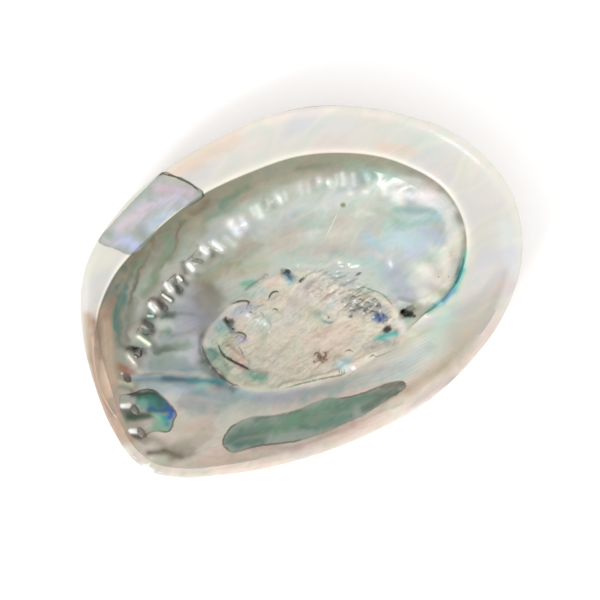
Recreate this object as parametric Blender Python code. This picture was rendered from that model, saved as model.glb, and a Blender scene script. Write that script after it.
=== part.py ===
"""An abalone shell: one grown piece, lying on its back with the mouth up.

X runs along the shell, from the front tip at -X to the spire end at +X. Z points up out of the mouth.
Every length in the tables below is in millimetres, measured with the mouth's rim level at height 0.
"""

from math import pi

import bmesh
import bpy
import numpy as np
from mathutils import Matrix, Vector

# Driving dimensions
MM = 0.001
LENGTH = 150.0  # over the rim, front tip to spire end
DEPTH = 36.0  # from the rim down to the outside of the back
WALL = 3.4  # thickness of the floor
RIM_WALL = 3.0  # thickness at the outer lip
SHELF_WALL = 4.0  # thickness of the side wall under the shelf
EDGE_RADIUS = 1.2  # rounding of the rim
EDGE_TURN = 0.6  # how far that rounding runs over the rim, in half circles
LEAN_X = -0.0035  # rise of the rim per unit towards the spire end, as the shell lies at rest
LEAN_Y = -0.055  # and towards the shelf side

# The rim seen from above: direction from the middle in degrees, reach
RIM = [
    (0.0, 72.4), (20.0, 64.8), (40.0, 58.8), (60.0, 54.9), (80.0, 53.0), (100.0, 55.4), (120.0, 61.0),
    (140.0, 67.8), (155.0, 69.8), (170.0, 71.9), (182.0, 74.8), (190.0, 76.4), (195.0, 76.0), (201.0, 72.8),
    (212.0, 65.4), (225.0, 59.2), (245.0, 54.2), (262.0, 53.6), (280.0, 56.4), (300.0, 61.8), (315.0, 67.8),
    (330.0, 73.4), (345.0, 75.4),
]
# The body lower down is a plainer egg, which the section turns into between these turns
BODY = [
    (0.0, 72.5), (45.0, 57.5), (90.0, 52.5), (135.0, 62.0), (180.0, 71.0), (225.0, 60.0), (270.0, 54.0),
    (315.0, 66.0),
]
BODY_STARTS = (0.1, 0.9)

# The shelf's inner lip by direction from the middle: angle, reach, depth below the rim, undercut
LIP = [
    (-54.7, 41.2, 25.5, 0.4), (-48.3, 44.3, 21.5, 1.2), (-43.5, 48.2, 17.5, 2.0), (-37.4, 51.6, 14.0, 2.6),
    (-28.0, 55.6, 11.2, 3.0), (-18.3, 57.7, 9.8, 3.0), (-6.5, 57.3, 9.0, 3.0), (11.1, 51.9, 8.2, 3.0),
    (35.3, 44.3, 7.4, 2.8), (50.7, 41.2, 7.0, 2.6), (74.8, 38.7, 6.6, 2.4), (98.9, 41.3, 6.0, 2.2),
    (124.4, 48.9, 5.2, 1.2), (142.0, 58.8, 3.6, -0.4), (157.2, 66.0, 2.4, -1.0), (174.5, 70.8, 1.6, -1.0),
]
PLAIN_SIDE = [(190.0, 71.5), (210.0, 57.0), (235.0, 40.0), (262.0, 35.0), (290.0, 38.0)]  # with no shelf
SHELF_ENDS = ((-62.0, -50.0), (172.0, 188.0))  # the shelf fades in and out over these angles
SHELF_MERGES = (-54.0, -28.0)  # the shelf sinks into the slope of the outer lip between these angles
LIP_RADIUS = 0.9
LIP_TURN, LIP_TURN_MORE = 0.3, 0.6  # half circles of its rounding, and how many more where undercut
SHELF_CURVE = 1.15  # the shelf dips towards its lip by this power
LEAST_STEP = 1.4  # the lip stays at least this far above the slope behind it
FOOT = 4.5  # how far in from the lip the wall beneath it meets the floor
RELIEF_STARTS = (3.0, 7.0)  # distance in from the rim over which the floor's relief rises

# The back's cross section by direction: fullness along the radius and roundness of the turn into the side
BACK_LIP_SIDE = (2.15, 1.15)
BACK_SHELF_SIDE = (2.75, 1.9)
BACK_FRONT = (2.2, 1.3)
BOTTOM_LONG, BOTTOM_WIDE = 104.0, 78.0  # where the bottom's even curve would reach rim level
BOTTOM_STARTS = (0.75, 1.4)  # turns of the section between which the even curve takes over
DEEPER_BACK = 0.16  # the back is this share of its depth deeper per length towards the spire end
BACK_SHAPE = [
    (-60.0, 0.55, 0.0), (-35.0, 1.0, 0.0), (0.0, 1.0, 0.0), (60.0, 1.0, 0.0), (120.0, 1.0, 0.0),
    (150.0, 0.7, 0.3), (185.0, 0.15, 0.85), (215.0, 0.0, 0.5), (250.0, 0.0, 0.0), (285.0, 0.0, 0.0),
]

# The row of breathing holes from the front notch: x, y, radius on the outside, height outside
HOLES = [
    (-67.6, -8.5, 3.6, 2.0), (-65.0, -0.7, 3.6, 2.2), (-60.8, 8.6, 3.5, 2.2), (-53.6, 13.0, 3.4, 2.1),
    (-46.9, 17.4, 3.2, 1.9), (-41.0, 21.6, 3.1, 1.7), (-33.0, 23.6, 3.0, 1.5), (-24.4, 25.1, 2.9, 1.3),
    (-16.5, 26.4, 2.8, 1.2), (-3.6, 25.9, 2.9, 1.1), (9.6, 25.9, 2.8, 1.3), (26.1, 21.9, 2.6, 0.8),
    (39.5, 12.6, 2.5, 0.7), (46.5, 0.0, 2.4, 0.6),
]
OPEN_HOLES = 4  # the newest ones, nearest the front
HOLE_LONG, HOLE_SHORT = 3.9, 2.9  # an open hole's length along the row and width across it
HOLE_BAR = 20.0  # length of the bar that cuts a hole
RIM_WAVES = [(2.0, 1.0, 10.0), (3.0, 0.5, 40.0)]  # waves round the rim: number, height, direction of a top
PIT_DEPTH = 1.5  # dimple inside each sealed hole
PIT_FADE = 0.05  # share that each older dimple is shallower
NOTCH_ANGLE, NOTCH_WIDTH, NOTCH_DEPTH = 194.0, 1.7, 2.2  # the half-made hole in the front rim
NOTCH_STARTS = (0.93, 0.99)

# The spire: its tip, and the groove between the whorls as a spiral
SPIRE = (34.9, -30.9)
SPIRE_SPREAD, SPIRE_HEIGHT = 20.0, 4.2  # how wide and how high the coil stands out
GROOVE_RADIUS, GROOVE_ANGLE = 24.0, -41.0  # where the groove reaches the rim, from the spire
GROOVE_GROWTH = 0.45  # growth of the coil's radius per radian
GROOVE_DEPTH, GROOVE_WIDTH = 1.3, 0.6
GROOVE_ENDS = (16.0, 26.0)  # distances from the spire over which it fades
SPIRE_HOLE = (23.3, -29.7)  # the coil's way in, under the end of the shelf
SPIRE_HOLE_LONG, SPIRE_HOLE_SHORT, SPIRE_HOLE_DEPTH = 3.4, 2.3, 3.2
SPIRE_HOLE_REACH = 2.4  # how far the way in runs back under the shelf

# Relief on the back
RESTS = [(0.93, 0.7), (0.82, 0.6), (0.69, 0.8), (0.55, 0.5)]  # growth pauses: share of full size, height
REST_WIDTH = 0.018
RESTS_START = (14.0, 30.0)  # distances from the spire over which they rise
ROW_RIDGE, ROW_RIDGE_WIDTH = 1.0, 6.0
SIDE_GROOVE, SIDE_GROOVE_WIDTH, SIDE_GROOVE_AWAY = 0.8, 3.0, 9.5
LUMPS = [  # worn lumps and one hollow on the back: x, y, radius, height
    (29.0, -3.0, 8.5, 2.4), (-13.0, -12.0, 8.5, 2.2), (8.0, 4.0, 11.0, -0.9), (-36.0, -19.0, 7.0, 1.0),
    (3.0, -35.0, 7.0, 1.2), (50.0, 4.0, 6.0, 0.8), (-49.0, 2.0, 6.0, 0.7),
]
FOLDS, FOLD_HEIGHT, FOLD_TWIST = 9.0, 0.5, 2.2  # broad swellings across the back, slanting with growth
FOLDS_START, FOLDS_END = (18.0, 40.0), (0.85, 1.0)

# The muscle scar on the floor: its outline, and how far its rough plate stands up
SCAR = [
    (-36.6, 1.9), (-37.9, -4.0), (-37.4, -10.3), (-35.1, -15.8), (-25.2, -24.5), (-6.2, -32.3),
    (6.2, -34.4), (16.4, -36.0), (21.4, -23.8), (14.5, -13.8), (8.7, -1.9), (-0.2, 5.0), (-12.7, 7.0),
    (-25.3, 6.6),
]
SCAR_CENTRE = (-8.0, -13.0)
SCAR_HEIGHT, SCAR_EDGE = 0.9, 0.06
SCAR_WRINKLE, SCAR_WRINKLE_PITCH, SCAR_WRINKLE_ANGLE = 0.25, 7.0, 12.0

# Fineness of the mesh
DIRECTIONS = 102
SHELF_STEPS, NOSE_STEPS, WALL_STEPS, FLOOR_STEPS, EDGE_STEPS = 4, 4, 3, 13, 3
BACK_STEPS = 19
CLOSER_AT, CLOSER_SPREAD, CLOSER_BY = 150.0, 50.0, 0.8  # directions lie closer along the row of holes


def smooth(x, low, high):
    """0 below low, 1 above high, and an even rise between."""
    t = np.clip((x - low) / (high - low), 0.0, 1.0)
    return t * t * (3.0 - 2.0 * t)


def bell(x, width):
    return np.exp(-((x / width) ** 2))


def around(angles, values, at):
    """A smooth closed run through values given by direction, in degrees."""
    order = np.argsort(angles)
    a, v = np.asarray(angles, float)[order], np.asarray(values, float)[order]
    start = a[0]
    a = np.concatenate([a[-2:] - 360.0, a, a[:2] + 360.0])
    v = np.concatenate([v[-2:], v, v[:2]])
    slope = np.gradient(v, a)
    x = (np.asarray(at, float) - start) % 360.0 + start
    i = np.searchsorted(a, x, side="right") - 1
    step = a[i + 1] - a[i]
    t = (x - a[i]) / step
    rise = v[i] * (1.0 + 2.0 * t) * (1.0 - t) ** 2 + v[i + 1] * t * t * (3.0 - 2.0 * t)
    return rise + step * t * (1.0 - t) * (slope[i] * (1.0 - t) - slope[i + 1] * t)


def reach(table, at):
    """How far a closed outline lies from its centre by direction."""
    angles, radii = np.array(table).T
    return around(angles, radii, at)


def seen_from(centre, points):
    """The directions and distances of points from a centre."""
    x, y = (np.asarray(points, float) - centre).T
    return list(zip(np.degrees(np.arctan2(y, x)), np.hypot(x, y)))


def rim_points():
    fine = np.arange(0.0, 360.0, 6.0)
    radius, angle = reach(RIM, fine), np.radians(fine)
    return np.stack([radius * np.cos(angle), radius * np.sin(angle)], axis=1)


def directions(count):
    """Directions from the middle, closer together along the row of holes."""
    fine = np.linspace(0.0, 360.0, 3601)
    away = (fine - CLOSER_AT + 180.0) % 360.0 - 180.0
    share = np.cumsum(1.0 + CLOSER_BY * bell(away, CLOSER_SPREAD))
    share = (share - share[0]) / (share[-1] - share[0])
    return np.interp(np.arange(count) / count, share, fine)


def back_section(at):
    """Fullness and roundness of the back's cross section by direction."""
    angles, side, front = np.array(BACK_SHAPE).T
    side, front = around(angles, side, at), around(angles, front, at)
    plain, full, tip = (np.array(s) for s in (BACK_LIP_SIDE, BACK_SHELF_SIDE, BACK_FRONT))
    return tuple(plain[i] + side * (full[i] - plain[i]) + front * (tip[i] - plain[i]) for i in (0, 1))


def back_dome(at, turn):
    """The back's plain section: turn runs from 0 at the rim to a quarter circle at the bottom."""
    fullness, roundness = back_section(at)
    outline = reach(RIM, at) + (reach(BODY, at) - reach(RIM, at)) * smooth(turn, *BODY_STARTS)
    radius = outline * np.cos(turn) ** (2.0 / fullness)
    side = np.sin(turn) ** (2.0 / roundness)
    x, y = radius * np.cos(np.radians(at)), radius * np.sin(np.radians(at))
    bottom = 1.0 - (x / BOTTOM_LONG) ** 2 - (y / BOTTOM_WIDE) ** 2
    depth = DEPTH * (1.0 + DEEPER_BACK * x / LENGTH)
    return radius, -depth * (side + smooth(turn, *BOTTOM_STARTS) * (bottom - side))


def inside_dome(at, turn):
    """The inside of the same section, a wall's thickness away from the back."""
    ends = np.clip(turn - 0.01, 0.003, None), np.clip(turn + 0.01, None, 0.5 * pi - 0.003)
    (r0, z0), (r1, z1) = (back_dome(at, end) for end in ends)
    length = np.hypot(r1 - r0, z1 - z0)
    edge = RIM_WALL + shelf_amount(at) * (SHELF_WALL - RIM_WALL)
    wall = WALL + (edge - WALL) * np.cos(turn) ** 2
    radius, height = back_dome(at, turn)
    return radius + wall * (z1 - z0) / length, height - wall * (r1 - r0) / length


def turn_at(at, radius):
    """Where the inside section reaches a radius."""
    turn = np.linspace(0.0, 0.5 * pi, 181)[:, None]
    radii = inside_dome(at, turn)[0]
    pairs = zip(radius.T, radii.T)
    return np.stack([np.interp(-r, -column, turn[:, 0]) for r, column in pairs], axis=1)


def shelf_amount(at):
    """1 where the shelf is whole, 0 where there is none."""
    x = (at + 90.0) % 360.0 - 90.0
    (a, b), (c, d) = SHELF_ENDS
    return smooth(x, a, b) * (1.0 - smooth(x, c, d))


def inside_section(at):
    """Radius and height of the inside by direction, from the rim's outer edge to the floor's middle."""
    at = at[None, :]
    rim = reach(RIM, at)
    table = np.array(LIP + [(angle, radius, 0.0, 0.0) for angle, radius in PLAIN_SIDE])
    lip, drop, under = (around(table[:, 0], table[:, i], at) for i in (1, 2, 3))
    amount = shelf_amount(at)
    merge = 1.0 - smooth((at + 90.0) % 360.0 - 90.0, *SHELF_MERGES)

    def steps(count):
        return np.arange(1, count + 1)[:, None] / count

    def on_bowl(radius):
        return inside_dome(at, turn_at(at, radius))[1]

    # over the rim
    turn = np.arange(EDGE_STEPS + 1)[:, None] / EDGE_STEPS * EDGE_TURN * pi
    edge = (rim - EDGE_RADIUS * (1.0 - np.cos(turn)), EDGE_RADIUS * (np.sin(turn) - 1.0) + 0.0 * rim)

    # across the shelf, round its lip, down the wall beneath and over the floor
    t = steps(SHELF_STEPS)
    outer = rim - 1.6 * EDGE_RADIUS
    across = outer + (lip + LIP_RADIUS - outer) * t
    drop = np.minimum(drop, -on_bowl(lip) - LEAST_STEP)
    plane = -drop * t**SHELF_CURVE
    shelf = (across, plane + (np.maximum(on_bowl(across), -drop) - plane) * merge)
    round_lip = np.minimum(LIP_RADIUS, 0.3 * (-on_bowl(lip) - drop))
    turn = 0.5 * pi + steps(NOSE_STEPS) * (LIP_TURN + LIP_TURN_MORE * smooth(under, -1.0, 0.8)) * pi
    nose = (lip + round_lip * (1.0 + np.cos(turn)), -drop - round_lip * (1.0 - np.sin(turn)))
    side = inside_dome(at, np.zeros_like(at))[0]
    foot = np.minimum(lip - FOOT, side - 2.0)
    hollow = np.minimum(lip + LIP_RADIUS + under, side - 0.8)
    high, low = (hollow, -drop - 3.0 * round_lip), (foot, on_bowl(foot))
    corner = (hollow, on_bowl(hollow))
    t = steps(WALL_STEPS)
    bend = [(1 - t) ** 2 * high[i] + 2 * t * (1 - t) * corner[i] + t * t * low[i] for i in (0, 1)]
    foot_turn = turn_at(at, foot)
    floor = inside_dome(at, foot_turn + (0.5 * pi - foot_turn) * steps(FLOOR_STEPS))

    # the plain slope of the outer lip, stepped at the same places
    top = np.minimum(side - 0.2, lip + LIP_RADIUS)
    slope = side + (top - side) * steps(SHELF_STEPS)
    turn_over = top + (lip - 1.0 - top) * steps(NOSE_STEPS)
    down = lip - 1.0 + (foot - lip + 1.0) * steps(WALL_STEPS)
    plain = [(r, on_bowl(r)) for r in (slope, turn_over, down)]
    mixed = [[p + amount * (s - p) for p, s in zip(*pair)] for pair in zip(plain, (shelf, nose, bend))]
    return [np.concatenate(p) for p in zip(edge, *mixed, floor)]


def back_turns(at):
    """The back's steps by direction, from the rim's outer edge to the bottom."""
    roundness = back_section(at)[1]
    first = np.arcsin((EDGE_RADIUS / DEPTH) ** (roundness / 2.0))
    return first + (0.5 * pi - first) * np.arange(BACK_STEPS + 1)[:, None] / BACK_STEPS


def sheet(radius, height, at):
    """Points of a surface given by direction, ring by ring; the last ring is one point."""
    angle = np.radians(at)[None, :]
    return np.stack([radius * np.cos(angle), radius * np.sin(angle), height + 0.0 * angle], axis=2)


def outward(points):
    """The surface's own direction at each point, turned up at the bottom's middle."""
    along = np.roll(points, -1, axis=1) - np.roll(points, 1, axis=1)
    across = np.gradient(points, axis=0)
    normal = np.cross(along, across)
    normal[-1] = (0.0, 0.0, 1.0)
    return normal / np.linalg.norm(normal, axis=2, keepdims=True)


def row_distance(x, y):
    """Distance from the row of holes, and which side: above 0 towards the shelf."""
    path = np.array([(hx, hy) for hx, hy, _, _ in HOLES])
    t = np.linspace(0.0, len(path) - 1.0, 160)
    fine = np.stack([np.interp(t, np.arange(len(path)), path[:, i]) for i in (0, 1)], axis=1)
    gap = np.hypot(x[..., None] - fine[:, 0], y[..., None] - fine[:, 1])
    nearest = np.argmin(gap, axis=-1)
    beyond = np.hypot(x, y) > np.hypot(*fine[nearest].transpose(2, 0, 1))
    return np.min(gap, axis=-1), np.where(beyond, 1.0, -1.0)


def growth(x, y):
    """Share of the full size that the shell had when its rim lay here."""
    angle = np.degrees(np.arctan2(y - SPIRE[1], x - SPIRE[0]))
    return np.hypot(x - SPIRE[0], y - SPIRE[1]) / reach(seen_from(SPIRE, rim_points()), angle)


def whorl_turn(x, y):
    """Turns past the groove between the whorls, in radians from -pi to pi."""
    away = np.maximum(np.hypot(x - SPIRE[0], y - SPIRE[1]), 0.3)
    angle = np.arctan2(y - SPIRE[1], x - SPIRE[0]) - np.radians(GROOVE_ANGLE)
    return (np.log(away / GROOVE_RADIUS) / GROOVE_GROWTH - angle + pi) % (2.0 * pi) - pi


def back_relief(x, y):
    """How far the back stands out: tubes round the holes, ridge, groove, growth rests, folds and spire."""
    size = growth(x, y)
    away = np.hypot(x - SPIRE[0], y - SPIRE[1])
    relief = SPIRE_HEIGHT * (1.0 - smooth(away, 0.0, SPIRE_SPREAD))
    relief -= GROOVE_DEPTH * bell(whorl_turn(x, y), GROOVE_WIDTH) * (1.0 - smooth(away, *GROOVE_ENDS))
    for hx, hy, radius, height in HOLES:
        relief += height * bell(np.hypot(x - hx, y - hy), radius)
    for lx, ly, radius, height in LUMPS:
        relief += height * bell(np.hypot(x - lx, y - ly), radius)
    gap, side = row_distance(x, y)
    relief += ROW_RIDGE * bell(gap, ROW_RIDGE_WIDTH)
    relief -= SIDE_GROOVE * bell(gap * side - SIDE_GROOVE_AWAY, SIDE_GROOVE_WIDTH)
    for share, height in RESTS:
        relief += height * bell(size - share, REST_WIDTH) * smooth(away, *RESTS_START)
    turn = np.arctan2(y - SPIRE[1], x - SPIRE[0])
    folds = smooth(away, *FOLDS_START) * (1.0 - smooth(size, *FOLDS_END))
    return relief + FOLD_HEIGHT * folds * np.sin(FOLDS * (turn + FOLD_TWIST * size))


def inside_relief(x, y):
    """How far the inside stands up: the scar's plate, and the dimples of the sealed holes."""
    u, v = x - SCAR_CENTRE[0], y - SCAR_CENTRE[1]
    share = np.hypot(u, v) / reach(seen_from(SCAR_CENTRE, SCAR), np.degrees(np.arctan2(v, u)))
    plate = 1.0 - smooth(share, 1.0 - SCAR_EDGE, 1.0 + SCAR_EDGE)
    slant = np.radians(SCAR_WRINKLE_ANGLE)
    across = (y * np.cos(slant) - x * np.sin(slant)) * 2.0 * pi / SCAR_WRINKLE_PITCH
    relief = plate * (SCAR_HEIGHT + SCAR_WRINKLE * np.sin(across + 0.8 * np.sin(x / 5.0)))
    for i, (hx, hy, radius, _) in enumerate(HOLES):
        gap = np.hypot(x - hx, y - hy)
        depth = PIT_DEPTH * (1.0 - PIT_FADE * i)
        relief += 0.5 * depth * bell(gap - 1.3 * radius, 0.5 * radius) - depth * bell(gap, 0.8 * radius)
    return relief


def rim_rise(at, radius):
    """The rim's slow wave and its front notch, dying away towards the middle."""
    notch = (at - NOTCH_ANGLE + 180.0) % 360.0 - 180.0
    wave = sum(height * np.cos(np.radians(turns * (at - top))) for turns, height, top in RIM_WAVES)
    share = radius / reach(RIM, at)
    return wave * share**3 - NOTCH_DEPTH * bell(notch, NOTCH_WIDTH) * smooth(share, *NOTCH_STARTS)


def spire_hole(points):
    """Sinks the coil's way in below the end of the shelf, slanting back under it."""
    away = np.array(SPIRE) - SPIRE_HOLE
    along = away / np.hypot(*away)
    x, y = points[..., 0] - SPIRE_HOLE[0], points[..., 1] - SPIRE_HOLE[1]
    u, v = x * along[0] + y * along[1], y * along[0] - x * along[1]
    share = 1.0 - smooth(np.hypot(u / SPIRE_HOLE_LONG, v / SPIRE_HOLE_SHORT), 0.55, 1.45)
    points[..., 0] += SPIRE_HOLE_REACH * along[0] * share
    points[..., 1] += SPIRE_HOLE_REACH * along[1] * share
    points[..., 2] -= SPIRE_HOLE_DEPTH * share
    return points


def inside_surface(at):
    radius, height = inside_section(at)
    points = sheet(radius, height + rim_rise(at[None, :], radius), at)
    x, y = points[..., 0], points[..., 1]
    inward = reach(RIM, at[None, :]) - radius
    relief = inside_relief(x, y) * smooth(inward, *RELIEF_STARTS) * below_lip()
    points += outward(points) * relief[..., None]
    points[-FLOOR_STEPS - 1 :] = spire_hole(points[-FLOOR_STEPS - 1 :])
    return points


def below_lip():
    """0 on the rim and shelf, 1 on the wall and floor."""
    above = EDGE_STEPS + 1 + SHELF_STEPS + NOSE_STEPS
    return np.repeat((0.0, 1.0), (above, WALL_STEPS + FLOOR_STEPS))[:, None]


def back_surface(at):
    """The back, its relief placed by the point of the inside that each point lies behind."""
    turn = back_turns(at[None, :])
    radius, height = back_dome(at[None, :], turn)
    rim = reach(RIM, at[None, :])
    share = np.arange(BACK_STEPS + 1)[:, None] / BACK_STEPS
    radius = radius + (rim - radius[:1]) * (1.0 - share) ** 3
    points = sheet(radius, height + rim_rise(at[None, :], radius), at)
    inside = inside_dome(at[None, :], turn)[0]
    angle = np.radians(at)[None, :]
    relief = back_relief(inside * np.cos(angle), inside * np.sin(angle))
    low = smooth(-height, EDGE_RADIUS, 5.0 * EDGE_RADIUS)
    return points - outward(points) * (relief * low)[..., None]


def surfaces():
    """The inside and the back, leaning as the shell lies, over the middle and standing on height 0."""
    at = directions(DIRECTIONS)
    pair = inside_surface(at), back_surface(at)
    for points in pair:
        points[..., 2] += LEAN_X * points[..., 0] + LEAN_Y * points[..., 1]
    every = np.concatenate([points.reshape(-1, 3) for points in pair])
    low, high = every.min(axis=0), every.max(axis=0)
    foot = np.array([*(0.5 * (low + high))[:2], low[2]])
    return [points - foot for points in pair]


def shell_mesh(inside, back):
    """The two surfaces joined round the rim and closed at the middle."""
    count = inside.shape[1]
    mesh = bmesh.new()
    rim = None
    for surface, turned in ((inside, False), (back, True)):
        rings = [[mesh.verts.new(Vector(p * MM)) for p in ring] for ring in surface[1 if rim else 0 : -1]]
        rim = rim or rings[0]
        if turned:
            rings.insert(0, rim)
        middle = mesh.verts.new(Vector(surface[-1, 0] * MM))
        for a, b in zip(rings, rings[1:]):
            for i in range(count):
                corners = (a[i - 1], a[i], b[i], b[i - 1])
                mesh.faces.new(corners[::-1] if turned else corners)
        for i in range(count):
            corners = (rings[-1][i - 1], rings[-1][i], middle)
            mesh.faces.new(corners[::-1] if turned else corners)
    return mesh


def hole_bars(inside):
    """Oval bars through the wall at the open holes, each square to the surface and long along the row."""
    normals = outward(inside)
    mesh = bmesh.new()
    for number in range(OPEN_HOLES):
        spot = np.array(HOLES[number][:2])
        gap = np.hypot(inside[..., 0] - spot[0], inside[..., 1] - spot[1])
        at = np.unravel_index(np.argmin(gap), gap.shape)
        through = Vector(normals[at])
        row = Vector((*(np.array(HOLES[number + 1][:2]) - spot), 0.0))
        along = (row - through * row.dot(through)).normalized()
        turn = Matrix((along, through.cross(along), through)).transposed().to_4x4()
        place = Matrix.Translation(Vector((*spot, inside[at][2])) * MM)
        size = Matrix.Diagonal(Vector((HOLE_LONG, HOLE_SHORT, HOLE_BAR, 1.0 / MM)) * MM)
        bmesh.ops.create_cone(
            mesh, cap_ends=True, segments=12, radius1=0.5, radius2=0.5, depth=1.0, matrix=place @ turn @ size
        )
    return mesh


def placed(name, mesh):
    thing = bpy.data.objects.new(name, bpy.data.meshes.new(name))
    mesh.to_mesh(thing.data)
    mesh.free()
    bpy.context.collection.objects.link(thing)
    return thing


def nacre():
    """Pale mother-of-pearl, as the polished inside shows."""
    material = bpy.data.materials.new("nacre")
    material.use_nodes = True
    shader = material.node_tree.nodes["Principled BSDF"]
    shader.inputs["Base Color"].default_value = (0.66, 0.64, 0.57, 1.0)
    shader.inputs["Roughness"].default_value = 0.28
    shader.inputs["Metallic"].default_value = 0.0
    return material


def build():
    for thing in list(bpy.data.objects):
        bpy.data.objects.remove(thing, do_unlink=True)
    inside, back = surfaces()
    shell = placed("abalone_shell", shell_mesh(inside, back))
    shell.data.materials.append(nacre())
    shell.data.shade_smooth()
    bars = placed("hole_bars", hole_bars(inside))
    bars.hide_render = True
    bars.display_type = "WIRE"
    cut = shell.modifiers.new("open holes", "BOOLEAN")
    cut.operation = "DIFFERENCE"
    cut.solver = "EXACT"
    cut.object = bars


build()
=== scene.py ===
"""A polished abalone shell lying on its back, seen into the mouth.

X runs along the shell from the front tip at -X to the spire end at +X, and Z points up out of the mouth.
Lengths in the tables are in millimetres. The rim's level is height 0 until the shell is set on the table.
"""

from functools import partial
from math import cos, pi, radians, sin

import bmesh
import bpy
import numpy as np
from mathutils import Matrix, Vector
from mathutils.bvhtree import BVHTree


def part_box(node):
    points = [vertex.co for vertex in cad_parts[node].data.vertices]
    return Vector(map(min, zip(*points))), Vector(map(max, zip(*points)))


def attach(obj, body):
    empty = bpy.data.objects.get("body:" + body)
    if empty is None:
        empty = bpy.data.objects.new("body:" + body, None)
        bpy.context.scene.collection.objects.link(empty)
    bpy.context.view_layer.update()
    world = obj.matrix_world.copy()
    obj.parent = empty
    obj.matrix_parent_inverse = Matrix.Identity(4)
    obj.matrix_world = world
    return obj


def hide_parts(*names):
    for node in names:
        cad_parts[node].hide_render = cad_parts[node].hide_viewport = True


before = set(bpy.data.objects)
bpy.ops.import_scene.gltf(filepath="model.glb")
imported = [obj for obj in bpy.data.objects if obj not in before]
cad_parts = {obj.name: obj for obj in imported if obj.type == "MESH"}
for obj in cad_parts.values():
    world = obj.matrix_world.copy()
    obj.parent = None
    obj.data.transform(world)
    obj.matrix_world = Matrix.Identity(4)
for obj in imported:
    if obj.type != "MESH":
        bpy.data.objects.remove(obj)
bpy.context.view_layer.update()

# The shell's shape, as in its solid
MM = 0.001
LENGTH = 150.0  # over the rim, front tip to spire end
DEPTH = 36.0  # from the rim down to the outside of the back
WALL = 3.4  # thickness of the floor
RIM_WALL = 3.0  # thickness at the outer lip
SHELF_WALL = 4.0  # thickness of the side wall under the shelf
EDGE_RADIUS = 1.2  # rounding of the rim
EDGE_TURN = 0.6  # how far that rounding runs over the rim, in half circles
LEAN_X = -0.0035  # rise of the rim per unit towards the spire end, as the shell lies at rest
LEAN_Y = -0.055  # and towards the shelf side

# The rim seen from above: direction from the middle in degrees, reach
RIM = [
    (0.0, 72.4), (20.0, 64.8), (40.0, 58.8), (60.0, 54.9), (80.0, 53.0), (100.0, 55.4), (120.0, 61.0),
    (140.0, 67.8), (155.0, 69.8), (170.0, 71.9), (182.0, 74.8), (190.0, 76.4), (195.0, 76.0), (201.0, 72.8),
    (212.0, 65.4), (225.0, 59.2), (245.0, 54.2), (262.0, 53.6), (280.0, 56.4), (300.0, 61.8), (315.0, 67.8),
    (330.0, 73.4), (345.0, 75.4),
]
# The body lower down is a plainer egg, which the section turns into between these turns
BODY = [
    (0.0, 72.5), (45.0, 57.5), (90.0, 52.5), (135.0, 62.0), (180.0, 71.0), (225.0, 60.0), (270.0, 54.0),
    (315.0, 66.0),
]
BODY_STARTS = (0.1, 0.9)

# The shelf's inner lip by direction from the middle: angle, reach, depth below the rim, undercut
LIP = [
    (-54.7, 41.2, 25.5, 0.4), (-48.3, 44.3, 21.5, 1.2), (-43.5, 48.2, 17.5, 2.0), (-37.4, 51.6, 14.0, 2.6),
    (-28.0, 55.6, 11.2, 3.0), (-18.3, 57.7, 9.8, 3.0), (-6.5, 57.3, 9.0, 3.0), (11.1, 51.9, 8.2, 3.0),
    (35.3, 44.3, 7.4, 2.8), (50.7, 41.2, 7.0, 2.6), (74.8, 38.7, 6.6, 2.4), (98.9, 41.3, 6.0, 2.2),
    (124.4, 48.9, 5.2, 1.2), (142.0, 58.8, 3.6, -0.4), (157.2, 66.0, 2.4, -1.0), (174.5, 70.8, 1.6, -1.0),
]
PLAIN_SIDE = [(190.0, 71.5), (210.0, 57.0), (235.0, 40.0), (262.0, 35.0), (290.0, 38.0)]  # with no shelf
SHELF_ENDS = ((-62.0, -50.0), (172.0, 188.0))  # the shelf fades in and out over these angles
SHELF_MERGES = (-54.0, -28.0)  # the shelf sinks into the slope of the outer lip between these angles
LIP_RADIUS = 0.9
LIP_TURN, LIP_TURN_MORE = 0.3, 0.6  # half circles of its rounding, and how many more where undercut
SHELF_CURVE = 1.15  # the shelf dips towards its lip by this power
LIP_ROOM = 0.3  # share of the room behind the lip that its rounding may take
UNDERCUTS = (-1.0, 0.8)  # undercuts over which it turns further
SHELF_FROM = 1.6  # the shelf starts this many edge radii in from the rim
LEAST_STEP = 1.4  # the lip stays at least this far above the slope behind it
FOOT = 4.5  # how far in from the lip the wall beneath it meets the floor
FOOT_CLEAR, HOLLOW_CLEAR, SLOPE_CLEAR = 2.0, 0.8, 0.2  # how far foot, hollow and slope keep from the side
WALL_FROM = 3.0  # the wall starts this many lip roundings below the shelf
NOSE_BACK = 1.0  # how far in from the lip the plain slope steps on
RELIEF_STARTS = (3.0, 7.0)  # distance in from the rim over which the floor's relief rises

# The back's cross section by direction: fullness along the radius and roundness of the turn into the side
BACK_LIP_SIDE = (2.15, 1.15)
BACK_SHELF_SIDE = (2.75, 1.9)
BACK_FRONT = (2.2, 1.3)
BOTTOM_LONG, BOTTOM_WIDE = 104.0, 78.0  # where the bottom's even curve would reach rim level
BOTTOM_STARTS = (0.75, 1.4)  # turns of the section between which the even curve takes over
BACK_RELIEF_FROM = 5.0  # depth below the rim, in edge radii, where the back's relief is whole
DEEPER_BACK = 0.16  # the back is this share of its depth deeper per length towards the spire end
BACK_SHAPE = [
    (-60.0, 0.55, 0.0), (-35.0, 1.0, 0.0), (0.0, 1.0, 0.0), (60.0, 1.0, 0.0), (120.0, 1.0, 0.0),
    (150.0, 0.7, 0.3), (185.0, 0.15, 0.85), (215.0, 0.0, 0.5), (250.0, 0.0, 0.0), (285.0, 0.0, 0.0),
]

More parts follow.
